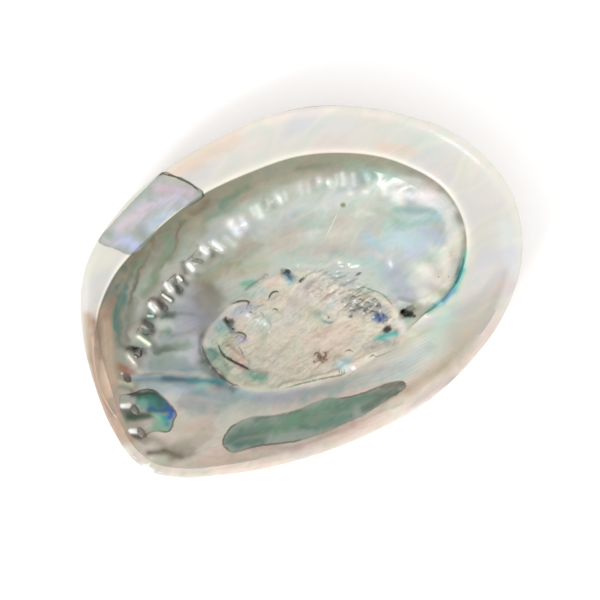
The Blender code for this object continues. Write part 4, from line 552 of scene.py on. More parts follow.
# Cracks, scratches, growth lines, flecks and pits, with painted glints on the row's blisters and on the scar,
# painted dark reflections beside the blisters and painted shade filling the spire's way in: places one after
# another, half width, colour, strength
MARKS = [
    ((-12.9, 54.1, -9.9, 50.6, -7.4, 45.9, -6.4, 40.4), 0.42, "#3A3428", 0.85),
    ((-36.2, 2.4, -37.4, -0.8, -37.9, -5.2, -37.1, -10.6, -34.8, -15.9), 0.5, "#3A362C", 0.97),
    ((-31.9, -0.5, -32.6, -4, -31.4, -7.7, -29.5, -11.5, -28.4, -13.9), 0.44, "#33272A", 0.93),
    ((-38.4, -14.4, -35.2, -14.4, -34.6, -16.8), 0.26, "#4A4238", 0.8),
    ((-24.7, 4.9, -24.8, 2.1, -25.3, -0.2), 0.44, "#2A2624", 0.9),
    ((-25.9, -1, -24, -1.6, -23, -3.6, -24.4, -4.9), 0.3, "#3A302C", 0.85),
    ((-20.5, 7.3, -17.8, 6.5, -15.7, 4.6, -18.2, 2.8), 0.34, "#3C3A3A", 0.85),
    ((-10.2, 1.2, -8.3, 2.2, -6.4, 2, -5.3, 0.3), 0.36, "#2E2A28", 0.9),
    ((-11.1, -2.1, -9.9, -2.6, -9.7, -4), 0.3, "#4A3C34", 0.8),
    ((-0.7, 5.3, 0.9, 4.8, 0.9, 3.7), 0.53, "#1F3E52", 0.9),
    ((1.4, -0.3, 2.5, 0, 3.7, -0), 0.35, "#3A3A40", 0.85),
    ((-25.1, -24.4, -18.2, -26.9, -11.6, -29.8, -5.9, -32.5, -3.4, -32.8), 0.32, "#6C7A5C", 0.85),
    ((5.8, -34.5, 9.1, -35.4, 16.4, -37.3), 0.23, "#8A7C84", 0.7),
    ((-0.5, -27.4, 1.2, -27.8, 2.1, -29.7), 0.3, "#5E564E", 0.75),
    ((4.5, -33.5, 6.3, -33.7, 7.9, -34.9), 0.3, "#4E443E", 0.75),
    ((-15.8, 8.2, -11.5, 8.6, -5.9, 7.5), 0.24, "#7A7668", 0.6),
    ((-27, -4.6, -27.1, -6.9, -27.9, -9.5), 0.24, "#5A4A44", 0.7),
    ((14.5, -13.8, 17.1, -14.1, 19, -16.8, 20.8, -19.8, 21.3, -23.4, 21, -25.9), 0.26, "#7E8A6C", 0.7),
    ((17.6, -9.7, 18.7, -9.8, 19.7, -10.1), 0.44, "#3E4A40", 0.8),
    ((12.1, -14.4, 15.1, -14.7, 17.4, -14.8), 0.26, "#54504A", 0.7),
    ((6.1, -15.9, 10.2, -15.8, 13.2, -16.1), 0.23, "#5A554C", 0.6),
    ((2.8, -8.6, 7, -9.4, 11.3, -10.2), 0.18, "#7A7466", 0.5),
    ((25.7, 10.6, 21.7, 8.4, 15.9, 5.6), 0.15, "#EEF1EC", 0.8),
    ((55.3, -44.2, 45.9, -48.3, 35.9, -51.9, 21.1, -54, 11, -55.2, 2.1, -52.6), 0.13, "#B3A094", 0.5),
    ((49.7, -25.5, 46.5, -28.3, 41.9, -31.2, 37.9, -32.2), 0.3, "#23677C", 0.8),
    ((35.3, -33.5, 29.6, -33.2, 25.9, -32.8), 0.3, "#5A7C62", 0.8),
    # painted glints on the row's blisters
    ((-17.2, 27.5, -16.9, 26.1), 1.05, "#FFFFFF", 1), ((-13, 26.3, -12.4, 23.9), 0.8, "#FFFFFF", 0.95),
    ((-24, 26, -23.9, 24), 0.85, "#FAFCFA", 0.9), ((-29, 25, -29, 23.4), 0.55, "#FFFFFF", 0.9),
    ((-33.6, 25, -33.6, 23.1), 1.05, "#FFFFFF", 1), ((-36.5, 23.2, -35.7, 20), 0.5, "#F8F8EC", 0.9),
    ((-41.5, 22.8, -41.4, 20.9), 1.1, "#FFFFFF", 1), ((-44.2, 20.4, -43.3, 19.5), 0.55, "#C8F0E2", 0.9),
    ((-48, 19.1, -47.5, 17.9), 0.5, "#D8C8AC", 0.85), ((-50.8, 16.8, -49.6, 12.8), 0.6, "#F4FCEA", 0.9),
    ((-56.8, 13.9, -56.9, 11.1), 0.6, "#F8F4E8", 0.8), ((-67.8, 2.1, -66.3, 0.8), 0.85, "#FFFFFF", 0.95),
    ((-70.5, -5.9, -69.1, -7.3), 0.8, "#FFFFFF", 0.95),
    # painted dark reflections beside the row's blisters
    ((-31.6, 23.9, -31.4, 22, -32.7, 21.1), 0.5, "#26281C", 0.85),
    ((-30.2, 22.1, -30.5, 20.5, -32.3, 20.3), 0.32, "#3A4030", 0.75),
    ((-39.1, 22.8, -38.7, 20.6, -40.4, 19.4), 0.5, "#382C22", 0.9),
    ((-37.7, 20.9, -38, 18.9, -39.8, 18.3), 0.42, "#22302A", 0.85),
    ((-45.8, 19.4, -45.1, 17.1, -46.5, 15.8), 0.45, "#30362A", 0.85),
    ((-47.2, 15.4, -48.7, 16.1, -49.2, 17.8), 0.3, "#403A30", 0.75),
    ((-54.7, 16.1, -53.7, 14.2, -51.6, 12.8), 0.5, "#1A1A14", 0.95),
    ((-34, 25.7, -30.7, 26.1, -27.4, 25.8), 0.22, "#4A4636", 0.75),
    ((-24.9, 27.5, -21.5, 27.7, -17.3, 28.6), 0.22, "#55503E", 0.6),
    ((-41.9, 23.5, -40.7, 24.6, -38.9, 24.3), 0.24, "#4A4436", 0.7),
    ((-51, 17.9, -49.3, 19, -46.5, 20.1), 0.2, "#4E4A3C", 0.6),
    ((-56.4, 22.4, -51.4, 28.2, -45.2, 32.4), 0.28, "#2F6E66", 0.6),
    ((-47, 27.3, -41.8, 30.6, -35.5, 34.7), 0.26, "#5C5A48", 0.6),
    ((-24.1, 33.3, -19.6, 37.1, -13, 38.5), 0.3, "#6E6250", 0.55),
    ((-5.8, -30.2, -4.8, -32, -2.2, -32.1), 0.2, "#66706A", 0.7),
    ((-9.6, -22.5, -7.8, -22.2, -7.4, -23.8, -8.9, -24.6), 0.32, "#5A3B1E", 0.85),
    ((-6.2, -22.7, -5.7, -24.2, -7.2, -25.1, -6.6, -26.4), 0.3, "#6A4622", 0.8),
    ((-10.4, -24.5, -8.5, -24.7, -7.8, -26.4), 0.24, "#6E4A26", 0.75),
    ((11.4, -14.7, 12.8, -14.5, 13.2, -15.6), 0.24, "#4E4E48", 0.8),
    ((12.6, -16.8, 14, -16.6, 14.6, -17.9), 0.24, "#3E4246", 0.85),
    ((14.1, -19.1, 15.5, -18.9, 15.6, -20.3), 0.24, "#44484E", 0.85),
    ((16.7, -19.5, 18, -19.3, 18.5, -20.8), 0.24, "#3C4450", 0.85),
    ((16.1, -21.8, 17.7, -21.8, 18.1, -23.4), 0.26, "#2E3644", 0.9),
    ((11.6, -19.3, 13, -19.1, 13.6, -20.3), 0.24, "#50504A", 0.8),
    ((13.4, -22.2, 15, -22.2, 15.4, -23.7), 0.24, "#3A424E", 0.85),
    ((10.9, -17.1, 12, -17.1, 11.9, -18.3), 0.2, "#55554E", 0.75),
    ((8.7, -17.8, 10.1, -18.1, 10.3, -19.4), 0.24, "#4A4C48", 0.8),
    ((16.9, -24, 17, -25.3, 16, -26.2), 0.24, "#2C3A58", 0.85),
    ((-17.3, 3, -17.1, 1.2, -18.3, 0.1), 0.2, "#5A6268", 0.7),
    ((-14.8, -0.1, -14.4, -1.7, -15.4, -2.9), 0.2, "#5E666C", 0.65),
    ((-14.3, -3.7, -14.3, -5.8, -15.9, -6.9), 0.2, "#66706E", 0.6),
    ((-58.4, 27.1, -65.1, 16.1, -70.9, 3.7), 0.22, "#9C7E6A", 0.6),
    ((-55.1, 27.8, -62, 17, -68.2, 4), 0.16, "#A88A76", 0.5),
    # the white dots at the end of this line and the start of the next are painted glints on the row
    ((-62.1, 24.3, -68.1, 14.3, -73.1, 2.9), 0.14, "#A58874", 0.45), ((-13.2, 27.3), 0.5, "#FFFFFF", 0.9),
    ((-62, 10.6), 0.4, "#FFFFFF", 0.85), ((-3.5, -30.3), 1.5, "#C4DADC", 0.7),
    # painted glints on the scar's ridges, from here to the purple grey dot
    ((12.3, -16.2), 0.42, "#FBF9F0", 0.9), ((13.4, -18.4), 0.42, "#F4F6F4", 0.9),
    ((14.5, -20.8), 0.42, "#EEF4F6", 0.9), ((17.1, -21), 0.42, "#F6F8F8", 0.9),
    ((9.9, -17.3), 0.38, "#F8F4E8", 0.85), ((12.2, -21.1), 0.38, "#EAF2F4", 0.85),
    ((13.9, -24), 0.42, "#DCE8F0", 0.85), ((17, -23.5), 0.38, "#E6EEF6", 0.85),
    ((9, -15.3), 0.38, "#F6F0E4", 0.8), ((-18.4, 1), 0.8, "#F2F6F6", 0.8),
    ((-17, -1.9), 0.65, "#EAF2F4", 0.8), ((-15.7, -4.5), 0.8, "#E4EEF2", 0.8),
    ((-16.4, 1.5), 0.45, "#DCE6EC", 0.7), ((-16.2, -7.5), 0.5, "#E0ECEE", 0.7),
    # the last dot on this line and the three after it are painted shade filling the spire's way in
    ((-24.9, -3.9), 0.8, "#BFC0DA", 0.8), ((22.6, -28.3), 1.1, "#0C0A08", 1),
    ((23.3, -29.5), 1.4, "#0C0A08", 1), ((24.2, -30.5), 1.1, "#0C0A08", 1),
    ((24.7, -31.7), 0.6, "#0C0A08", 1), ((28.1, 11.2), 1, "#7C8052", 0.95),
    ((38.9, -26.2), 0.45, "#4A4034", 0.9), ((41.4, -28.1), 0.4, "#7A705E", 0.85),
    ((-7.9, -23.4), 0.8, "#5A3B1E", 0.85), ((-7, -24.8), 0.7, "#6A4622", 0.85),
    ((-10.3, -23.9), 0.5, "#6E4A26", 0.8), ((-4.8, -24.1), 0.4, "#7A5A38", 0.7),
    ((-8.3, -25.5), 0.4, "#7A5A38", 0.7), ((-6.5, -22), 0.35, "#8A6A48", 0.6),
    ((-6.6, -25.9), 0.4, "#6A4622", 0.8), ((15.2, -29.9), 1.3, "#2A211C", 0.95),
    ((15.3, -26), 0.9, "#22397A", 0.85), ((-24.4, 2.7), 1.6, "#26302C", 0.92),
    ((33.7, -33.1), 1.1, "#9CD2DC", 0.8), ((-1.3, -33.2), 0.8, "#FFFFFF", 0.9),
    ((0.7, 4.6), 0.9, "#1D2E3C", 0.85), ((2.6, -0.4), 0.7, "#3A3A44", 0.8),
    ((8.2, -19.5), 0.6, "#3A3C44", 0.7), ((12.8, -20.9), 0.6, "#3C3E46", 0.7),
    ((11.9, -17.8), 0.5, "#44464C", 0.65), ((17.9, -21.6), 0.55, "#3A4048", 0.65),
    ((8.8, -13.9), 0.5, "#5A5A54", 0.6), ((2.2, -15.3), 0.5, "#3C5A60", 0.7),
]
# Patches where a deeper layer shows: their outlines
LILAC_PATCH = [
    (-12.9, 54.1), (-9.9, 50.6), (-7.4, 45.9), (-6.4, 40.8), (-14.7, 41.5), (-22.9, 41.2), (-35.4, 39),
    (-39, 43.3), (-42.3, 49), (-34.8, 51), (-23.7, 53),
]
TEAL_PATCH = [
    (-66.7, 4.9), (-63.7, 3.6), (-59.6, 2.2), (-57.2, -0), (-56.1, -3.1), (-55.6, -7.5), (-55.9, -10.5),
    (-58, -11.7), (-59.4, -13), (-61.6, -13.3), (-63.9, -11), (-66.4, -10.1), (-69.4, -9.9), (-71.2, -7.4),
    (-70.4, -3.1), (-69, 1.4),
]
GREEN_PATCH = [
    (-49.3, -26.7), (-46.5, -25.1), (-42.9, -24.6), (-36.8, -26.1), (-31.2, -29.8), (-23.7, -33.1),
    (-17.8, -34.4), (-13.2, -36.2), (-9.9, -38.7), (-2.8, -41.6), (4.3, -43.4), (8.5, -45.7), (8.5, -47.8),
    (4.4, -47.9), (-4.3, -47.3), (-11.1, -46.2), (-20.6, -43.9), (-29.5, -40.8), (-37.4, -36.4),
    (-41.3, -34.2), (-48.1, -31.5), (-49.4, -29),
]


def smooth(x, low, high):
    """0 below low, 1 above high, and an even rise between."""
    t = np.clip((x - low) / (high - low), 0.0, 1.0)
    return t * t * (3.0 - 2.0 * t)


def bell(x, width):
    return np.exp(-((x / width) ** 2))


def around(angles, values, at):
    """A smooth closed run through values given by direction, in degrees."""
    order = np.argsort(angles)
    a, v = np.asarray(angles, float)[order], np.asarray(values, float)[order]
    start = a[0]
    a = np.concatenate([a[-2:] - 360.0, a, a[:2] + 360.0])
    v = np.concatenate([v[-2:], v, v[:2]])
    slope = np.gradient(v, a)
    x = (np.asarray(at, float) - start) % 360.0 + start
    i = np.clip(np.searchsorted(a, x, side="right") - 1, 0, len(a) - 2)
    step = a[i + 1] - a[i]
    t = (x - a[i]) / step
    rise = v[i] * (1.0 + 2.0 * t) * (1.0 - t) ** 2 + v[i + 1] * t * t * (3.0 - 2.0 * t)
    return rise + step * t * (1.0 - t) * (slope[i] * (1.0 - t) - slope[i + 1] * t)


def reach(table, at):
    """How far a closed outline lies from its centre by direction."""
    angles, radii = np.array(table).T
    return around(angles, radii, at)


def seen_from(centre, points):
    """The directions and distances of points from a centre."""
    x, y = (np.asarray(points, float) - centre).T
    return list(zip(np.degrees(np.arctan2(y, x)), np.hypot(x, y)))


def rim_points():
    fine = np.arange(0.0, 360.0, RIM_STEP)
    radius, angle = reach(RIM, fine), np.radians(fine)
    return np.stack([radius * np.cos(angle), radius * np.sin(angle)], axis=1)


def directions(count):
    """Directions from the middle, closer together along the row of holes."""
    fine = np.linspace(0.0, 360.0, FINE_DIRECTIONS)
    away = (fine - CLOSER_AT + 180.0) % 360.0 - 180.0
    share = np.cumsum(1.0 + CLOSER_BY * bell(away, CLOSER_SPREAD))
    share = (share - share[0]) / (share[-1] - share[0])
    return np.interp(np.arange(count) / count, share, fine)


def back_section(at):
    """Fullness and roundness of the back's cross section by direction."""
    angles, side, front = np.array(BACK_SHAPE).T
    side, front = around(angles, side, at), around(angles, front, at)
    plain, full, tip = (np.array(s) for s in (BACK_LIP_SIDE, BACK_SHELF_SIDE, BACK_FRONT))
    return tuple(plain[i] + side * (full[i] - plain[i]) + front * (tip[i] - plain[i]) for i in (0, 1))


def back_dome(at, turn):
    """The back's plain section: turn runs from 0 at the rim to a quarter circle at the bottom."""
    fullness, roundness = back_section(at)
    outline = reach(RIM, at) + (reach(BODY, at) - reach(RIM, at)) * smooth(turn, *BODY_STARTS)
    radius = outline * np.clip(np.cos(turn), 0.0, 1.0) ** (2.0 / fullness)
    side = np.sin(turn) ** (2.0 / roundness)
    x, y = radius * np.cos(np.radians(at)), radius * np.sin(np.radians(at))
    bottom = 1.0 - (x / BOTTOM_LONG) ** 2 - (y / BOTTOM_WIDE) ** 2
    depth = DEPTH * (1.0 + DEEPER_BACK * x / LENGTH)
    return radius, -depth * (side + smooth(turn, *BOTTOM_STARTS) * (bottom - side))


def inside_dome(at, turn):
    """The inside of the same section, a wall's thickness away from the back."""
    ends = np.clip(turn - TURN_STEP, TURN_END, None), np.clip(turn + TURN_STEP, None, 0.5 * pi - TURN_END)
    (r0, z0), (r1, z1) = (back_dome(at, end) for end in ends)
    length = np.hypot(r1 - r0, z1 - z0)
    edge = RIM_WALL + shelf_amount(at) * (SHELF_WALL - RIM_WALL)
    wall = WALL + (edge - WALL) * np.cos(turn) ** 2
    radius, height = back_dome(at, turn)
    return radius + wall * (z1 - z0) / length, height - wall * (r1 - r0) / length


def turn_at(at, radius):
    """Where the inside section reaches a radius."""
    turn = np.linspace(0.0, 0.5 * pi, SECTION_STEPS)[:, None]
    radii = inside_dome(at, turn)[0]
    pairs = zip(radius.T, radii.T)
    return np.stack([np.interp(-r, -column, turn[:, 0]) for r, column in pairs], axis=1)


def shelf_amount(at):
    """1 where the shelf is whole, 0 where there is none."""
    x = (at + 90.0) % 360.0 - 90.0
    (a, b), (c, d) = SHELF_ENDS
    return smooth(x, a, b) * (1.0 - smooth(x, c, d))


def inside_section(at):
    """Radius and height of the inside by direction, from the rim's outer edge to the floor's middle."""
    at = at[None, :]
    rim = reach(RIM, at)
    table = np.array(LIP + [(angle, radius, 0.0, 0.0) for angle, radius in PLAIN_SIDE])
    lip, drop, under = (around(table[:, 0], table[:, i], at) for i in (1, 2, 3))
    amount = shelf_amount(at)
    merge = 1.0 - smooth((at + 90.0) % 360.0 - 90.0, *SHELF_MERGES)

    def steps(count):
        return np.arange(1, count + 1)[:, None] / count

    def on_bowl(radius):
        return inside_dome(at, turn_at(at, radius))[1]

    # over the rim
    turn = np.arange(EDGE_STEPS + 1)[:, None] / EDGE_STEPS * EDGE_TURN * pi
    edge = (rim - EDGE_RADIUS * (1.0 - np.cos(turn)), EDGE_RADIUS * (np.sin(turn) - 1.0) + 0.0 * rim)

    # across the shelf, round its lip, down the wall beneath and over the floor
    t = steps(SHELF_STEPS)
    outer = rim - SHELF_FROM * EDGE_RADIUS
    across = outer + (lip + LIP_RADIUS - outer) * t
    drop = np.minimum(drop, -on_bowl(lip) - LEAST_STEP)
    plane = -drop * t**SHELF_CURVE
    shelf = (across, plane + (np.maximum(on_bowl(across), -drop) - plane) * merge)
    round_lip = np.minimum(LIP_RADIUS, LIP_ROOM * (-on_bowl(lip) - drop))
    turn = 0.5 * pi + steps(NOSE_STEPS) * (LIP_TURN + LIP_TURN_MORE * smooth(under, *UNDERCUTS)) * pi
    nose = (lip + round_lip * (1.0 + np.cos(turn)), -drop - round_lip * (1.0 - np.sin(turn)))
    side = inside_dome(at, np.zeros_like(at))[0]
    foot = np.minimum(lip - FOOT, side - FOOT_CLEAR)
    hollow = np.minimum(lip + LIP_RADIUS + under, side - HOLLOW_CLEAR)
    high, low = (hollow, -drop - WALL_FROM * round_lip), (foot, on_bowl(foot))
    corner = (hollow, on_bowl(hollow))
    t = steps(WALL_STEPS)
    bend = [(1 - t) ** 2 * high[i] + 2 * t * (1 - t) * corner[i] + t * t * low[i] for i in (0, 1)]
    foot_turn = turn_at(at, foot)
    floor = inside_dome(at, foot_turn + (0.5 * pi - foot_turn) * steps(FLOOR_STEPS))

    # the plain slope of the outer lip, stepped at the same places
    top = np.minimum(side - SLOPE_CLEAR, lip + LIP_RADIUS)
    slope = side + (top - side) * steps(SHELF_STEPS)
    turn_over = top + (lip - NOSE_BACK - top) * steps(NOSE_STEPS)
    down = lip - NOSE_BACK + (foot - lip + NOSE_BACK) * steps(WALL_STEPS)
    plain = [(r, on_bowl(r)) for r in (slope, turn_over, down)]
    mixed = [[p + amount * (s - p) for p, s in zip(*pair)] for pair in zip(plain, (shelf, nose, bend))]
    return [np.concatenate(p) for p in zip(edge, *mixed, floor)]


def back_turns(at):
    """The back's steps by direction, from the rim's outer edge to the bottom."""
    roundness = back_section(at)[1]
    first = np.arcsin((EDGE_RADIUS / DEPTH) ** (roundness / 2.0))
    return first + (0.5 * pi - first) * np.arange(BACK_STEPS + 1)[:, None] / BACK_STEPS


def sheet(radius, height, at):
    """Points of a surface given by direction, ring by ring; the last ring is one point."""
    angle = np.radians(at)[None, :]
    return np.stack([radius * np.cos(angle), radius * np.sin(angle), height + 0.0 * angle], axis=2)


def outward(points):
    """The surface's own direction at each point, turned up at the bottom's middle."""
    along = np.roll(points, -1, axis=1) - np.roll(points, 1, axis=1)
    across = np.gradient(points, axis=0)
    normal = np.cross(along, across)
    normal[-1] = (0.0, 0.0, 1.0)
    return normal / np.linalg.norm(normal, axis=2, keepdims=True)


def row_distance(x, y):
    """Distance from the row of holes, and which side: above 0 towards the shelf."""
    path = np.array([(hx, hy) for hx, hy, _, _ in HOLES])
    t = np.linspace(0.0, len(path) - 1.0, ROW_POINTS)
    fine = np.stack([np.interp(t, np.arange(len(path)), path[:, i]) for i in (0, 1)], axis=1)
    gap = np.hypot(x[..., None] - fine[:, 0], y[..., None] - fine[:, 1])
    nearest = np.argmin(gap, axis=-1)
    further = np.hypot(x, y) > np.hypot(*fine[nearest].transpose(2, 0, 1))
    return np.min(gap, axis=-1), np.where(further, 1.0, -1.0)


def growth(x, y):
    """Share of the full size that the shell had when its rim lay here."""
    angle = np.degrees(np.arctan2(y - SPIRE[1], x - SPIRE[0]))
    return np.hypot(x - SPIRE[0], y - SPIRE[1]) / reach(seen_from(SPIRE, rim_points()), angle)


def whorl_turn(x, y):
    """Turns past the groove between the whorls, in radians from -pi to pi."""
    away = np.maximum(np.hypot(x - SPIRE[0], y - SPIRE[1]), SPIRE_TIP)
    angle = np.arctan2(y - SPIRE[1], x - SPIRE[0]) - np.radians(GROOVE_ANGLE)
    return (np.log(away / GROOVE_RADIUS) / GROOVE_GROWTH - angle + pi) % (2.0 * pi) - pi


def back_relief(x, y):
    """How far the back stands out: tubes round the holes, ridge, groove, growth rests, folds and spire."""
    size = growth(x, y)
    away = np.hypot(x - SPIRE[0], y - SPIRE[1])
    relief = SPIRE_HEIGHT * (1.0 - smooth(away, 0.0, SPIRE_SPREAD))
    relief -= GROOVE_DEPTH * bell(whorl_turn(x, y), GROOVE_WIDTH) * (1.0 - smooth(away, *GROOVE_ENDS))
    for hx, hy, radius, height in HOLES:
        relief += height * bell(np.hypot(x - hx, y - hy), radius)
    for lx, ly, radius, height in LUMPS:
        relief += height * bell(np.hypot(x - lx, y - ly), radius)
    gap, side = row_distance(x, y)
    relief += ROW_RIDGE * bell(gap, ROW_RIDGE_WIDTH)
    relief -= SIDE_GROOVE * bell(gap * side - SIDE_GROOVE_AWAY, SIDE_GROOVE_WIDTH)
    for share, height in RESTS:
        relief += height * bell(size - share, REST_WIDTH) * smooth(away, *RESTS_START)
    turn = np.arctan2(y - SPIRE[1], x - SPIRE[0])
    folds = smooth(away, *FOLDS_START) * (1.0 - smooth(size, *FOLDS_END))
    return relief + FOLD_HEIGHT * folds * np.sin(FOLDS * (turn + FOLD_TWIST * size))


def inside_relief(x, y):
    """How far the muscle scar's plate stands up."""
    plate = 1.0 - smooth(scar_share(x, y), 1.0 - SCAR_EDGE, 1.0 + SCAR_EDGE)
    slant = np.radians(SCAR_WRINKLE_ANGLE)
    across = (y * np.cos(slant) - x * np.sin(slant)) * 2.0 * pi / SCAR_WRINKLE_PITCH
    across += SCAR_WRINKLE_BEND * np.sin(x / SCAR_WRINKLE_SPREAD)
    return plate * (SCAR_HEIGHT + SCAR_WRINKLE * np.sin(across))


def rim_rise(at, radius):
    """The rim's slow wave and its front notch, dying away towards the middle."""
    notch = (at - NOTCH_ANGLE + 180.0) % 360.0 - 180.0
    wave = sum(height * np.cos(np.radians(turns * (at - top))) for turns, height, top in RIM_WAVES)
    share = radius / reach(RIM, at)
    return wave * share**3 - NOTCH_DEPTH * bell(notch, NOTCH_WIDTH) * smooth(share, *NOTCH_STARTS)


def spire_hole(points):
    """Sinks the coil's way in below the end of the shelf, slanting back under it."""
    away = np.array(SPIRE) - SPIRE_HOLE
    along = away / np.hypot(*away)
    x, y = points[..., 0] - SPIRE_HOLE[0], points[..., 1] - SPIRE_HOLE[1]
    u, v = x * along[0] + y * along[1], y * along[0] - x * along[1]
    share = 1.0 - smooth(np.hypot(u / SPIRE_HOLE_LONG, v / SPIRE_HOLE_SHORT), *SPIRE_HOLE_FADES)
    points[..., 0] += SPIRE_HOLE_REACH * along[0] * share
    points[..., 1] += SPIRE_HOLE_REACH * along[1] * share
    points[..., 2] -= SPIRE_HOLE_DEPTH * share
    return points


def inside_surface(at):
    radius, height = inside_section(at)
    points = sheet(radius, height + rim_rise(at[None, :], radius), at)
    x, y = points[..., 0], points[..., 1]
    inward = reach(RIM, at[None, :]) - radius
    relief = (inside_relief(x, y) + fine_relief(x, y)) * smooth(inward, *RELIEF_STARTS) * below_lip()
    points += outward(points) * relief[..., None]
    points[-FLOOR_STEPS - 1 :] = spire_hole(points[-FLOOR_STEPS - 1 :])
    return points


def below_lip():
    """0 on the rim and shelf, 1 on the wall and floor."""
    above = EDGE_STEPS + 1 + SHELF_STEPS + NOSE_STEPS
    return np.repeat((0.0, 1.0), (above, WALL_STEPS + FLOOR_STEPS))[:, None]


def back_surface(at):
    """The back, its relief placed by the point of the inside that each point lies behind."""
    turn = back_turns(at[None, :])
    radius, height = back_dome(at[None, :], turn)
    rim = reach(RIM, at[None, :])
    share = np.arange(BACK_STEPS + 1)[:, None] / BACK_STEPS
    radius = radius + (rim - radius[:1]) * (1.0 - share) ** 3
    points = sheet(radius, height + rim_rise(at[None, :], radius), at)
    inside = inside_dome(at[None, :], turn)[0]
    angle = np.radians(at)[None, :]
    relief = back_relief(inside * np.cos(angle), inside * np.sin(angle))
    low = smooth(-height, EDGE_RADIUS, BACK_RELIEF_FROM * EDGE_RADIUS)
    return points - outward(points) * (relief * low)[..., None]


def rough(x, y, pitch, seed):
    """An even random-looking wave field between about -1 and 1, with waves of about the given pitch."""
    turns = np.random.default_rng(seed).uniform(0.0, 2.0 * pi, (7, 2))
    waves = [
        np.sin((x * np.cos(a) + y * np.sin(a)) * 2.0 * pi / (pitch * (0.7 + 0.1 * i)) + b)
        for i, (a, b) in enumerate(turns)
    ]
    return sum(waves) / 3.5


def scar_share(x, y):
    """0 at the scar's middle, 1 on its outline."""
    u, v = x - SCAR_CENTRE[0], y - SCAR_CENTRE[1]
    return np.hypot(u, v) / reach(seen_from(SCAR_CENTRE, SCAR), np.degrees(np.arctan2(v, u)))


def fine_relief(x, y):
    """Dimples and blisters along the row of holes, swellings of the floor, and the scar's rough skin."""
    relief = np.zeros_like(x)
    for hx, hy, radius, _ in HOLES:
        relief -= DIMPLE_DEPTH * bell(np.hypot(x - hx, y - hy), DIMPLE_SIZE * radius)
    for sx, sy, radius, height in SWELLS:
        relief += height * bell(np.hypot(x - sx, y - sy), radius)
    for *ends, width, height in RIDGES:
        relief += height * bell(from_stroke(x, y, *ends), width)
    plate = 1.0 - smooth(scar_share(x, y), *SCAR_RELIEF_FADES)
    relief += plate * SCAR_LUMPS * rough(x, y, SCAR_LUMPS_PITCH, 3)
    bent = y + SCAR_CREASE_BEND * rough(x, y, SCAR_BEND_PITCH, 5)
    crease = np.sin(bent * 2.0 * pi / SCAR_CREASE_PITCH) * (0.5 + 0.5 * rough(x, y, SCAR_FADE_PITCH, 8))
    relief += plate * SCAR_CREASE * crease
    rumple = RUMPLE * np.abs(rough(RUMPLE_ACROSS * y, RUMPLE_ALONG * x, RUMPLE_PITCH, 12))
    for rx, ry, radius in RUMPLED:
        relief += bell(np.hypot(x - rx, y - ry), radius) * rumple
    away = np.hypot(x, y)
    folds = np.sin(FOLDS_INSIDE * np.arctan2(y, x) + FOLDS_INSIDE_TWIST * away)
    return relief + FOLDS_INSIDE_HEIGHT * smooth(away, *FOLDS_INSIDE_START) * folds


def smooth_outline(points, steps=8, closed=True):
    """A rounded line through an outline's corners."""
    p = np.array(points, float)
    if closed:
        p = np.concatenate([p[-1:], p, p[:2]])
    else:
        p = np.concatenate([2.0 * p[:1] - p[1:2], p, 2.0 * p[-1:] - p[-2:-1]])
    a, b, c, d = (p[i : len(p) - 3 + i, None, :] for i in range(4))
    t = (np.arange(steps) / steps)[None, :, None]
    line = 0.5 * (2 * b + (c - a) * t + (2 * a - 5 * b + 4 * c - d) * t**2 + (3 * b - a - 3 * c + d) * t**3)
    return line.reshape(-1, 2)


def beyond(x, y, outline):
    """Distance from a closed outline: above 0 outside it, below 0 inside."""
    line = smooth_outline(outline)
    nearest = np.full(x.shape, FAR)
    inside = np.zeros(x.shape, bool)
    for (x0, y0), (x1, y1) in zip(line, np.roll(line, -1, axis=0)):
        nearest = np.minimum(nearest, from_stroke(x, y, x0, y0, x1, y1))
        crosses = (y0 > y) != (y1 > y)
        inside ^= crosses & (x < (x1 - x0) * (y - y0) / (y1 - y0 + 1e-12 * (y1 == y0)) + x0)
    return np.where(inside, -nearest, nearest)


def from_stroke(x, y, x0, y0, x1, y1):
    """Distance from a straight stroke."""
    u, v = x1 - x0, y1 - y0
    t = np.clip(((x - x0) * u + (y - y0) * v) / max(u * u + v * v, 1e-9), 0.0, 1.0)
    return np.hypot(x - x0 - t * u, y - y0 - t * v)


def linear(colour):
    """An sRGB hex colour as linear light."""
    value = np.array([int(colour[i : i + 2], 16) / 255.0 for i in (1, 3, 5)])
    return np.where(value <= 0.04045, value / 12.92, ((value + 0.055) / 1.055) ** 2.4)


def wandered(x, y):
    """Places moved a little, so that strokes laid there waver."""
    along, across = (sum(far * rough(x, y, pitch, seed + i) for far, pitch, seed in WAVERS) for i in (0, 2))
    return x + along, y + across


def tinted(colours, x, y, strokes, where, light=1.0):
    """Soft strokes of colour laid over each other."""
    for *ends, width, colour, strength in strokes:
        amount = strength * bell(from_stroke(x, y, *ends), width) * where
        colours += (linear(colour) * light - colours) * amount[..., None]
    return colours


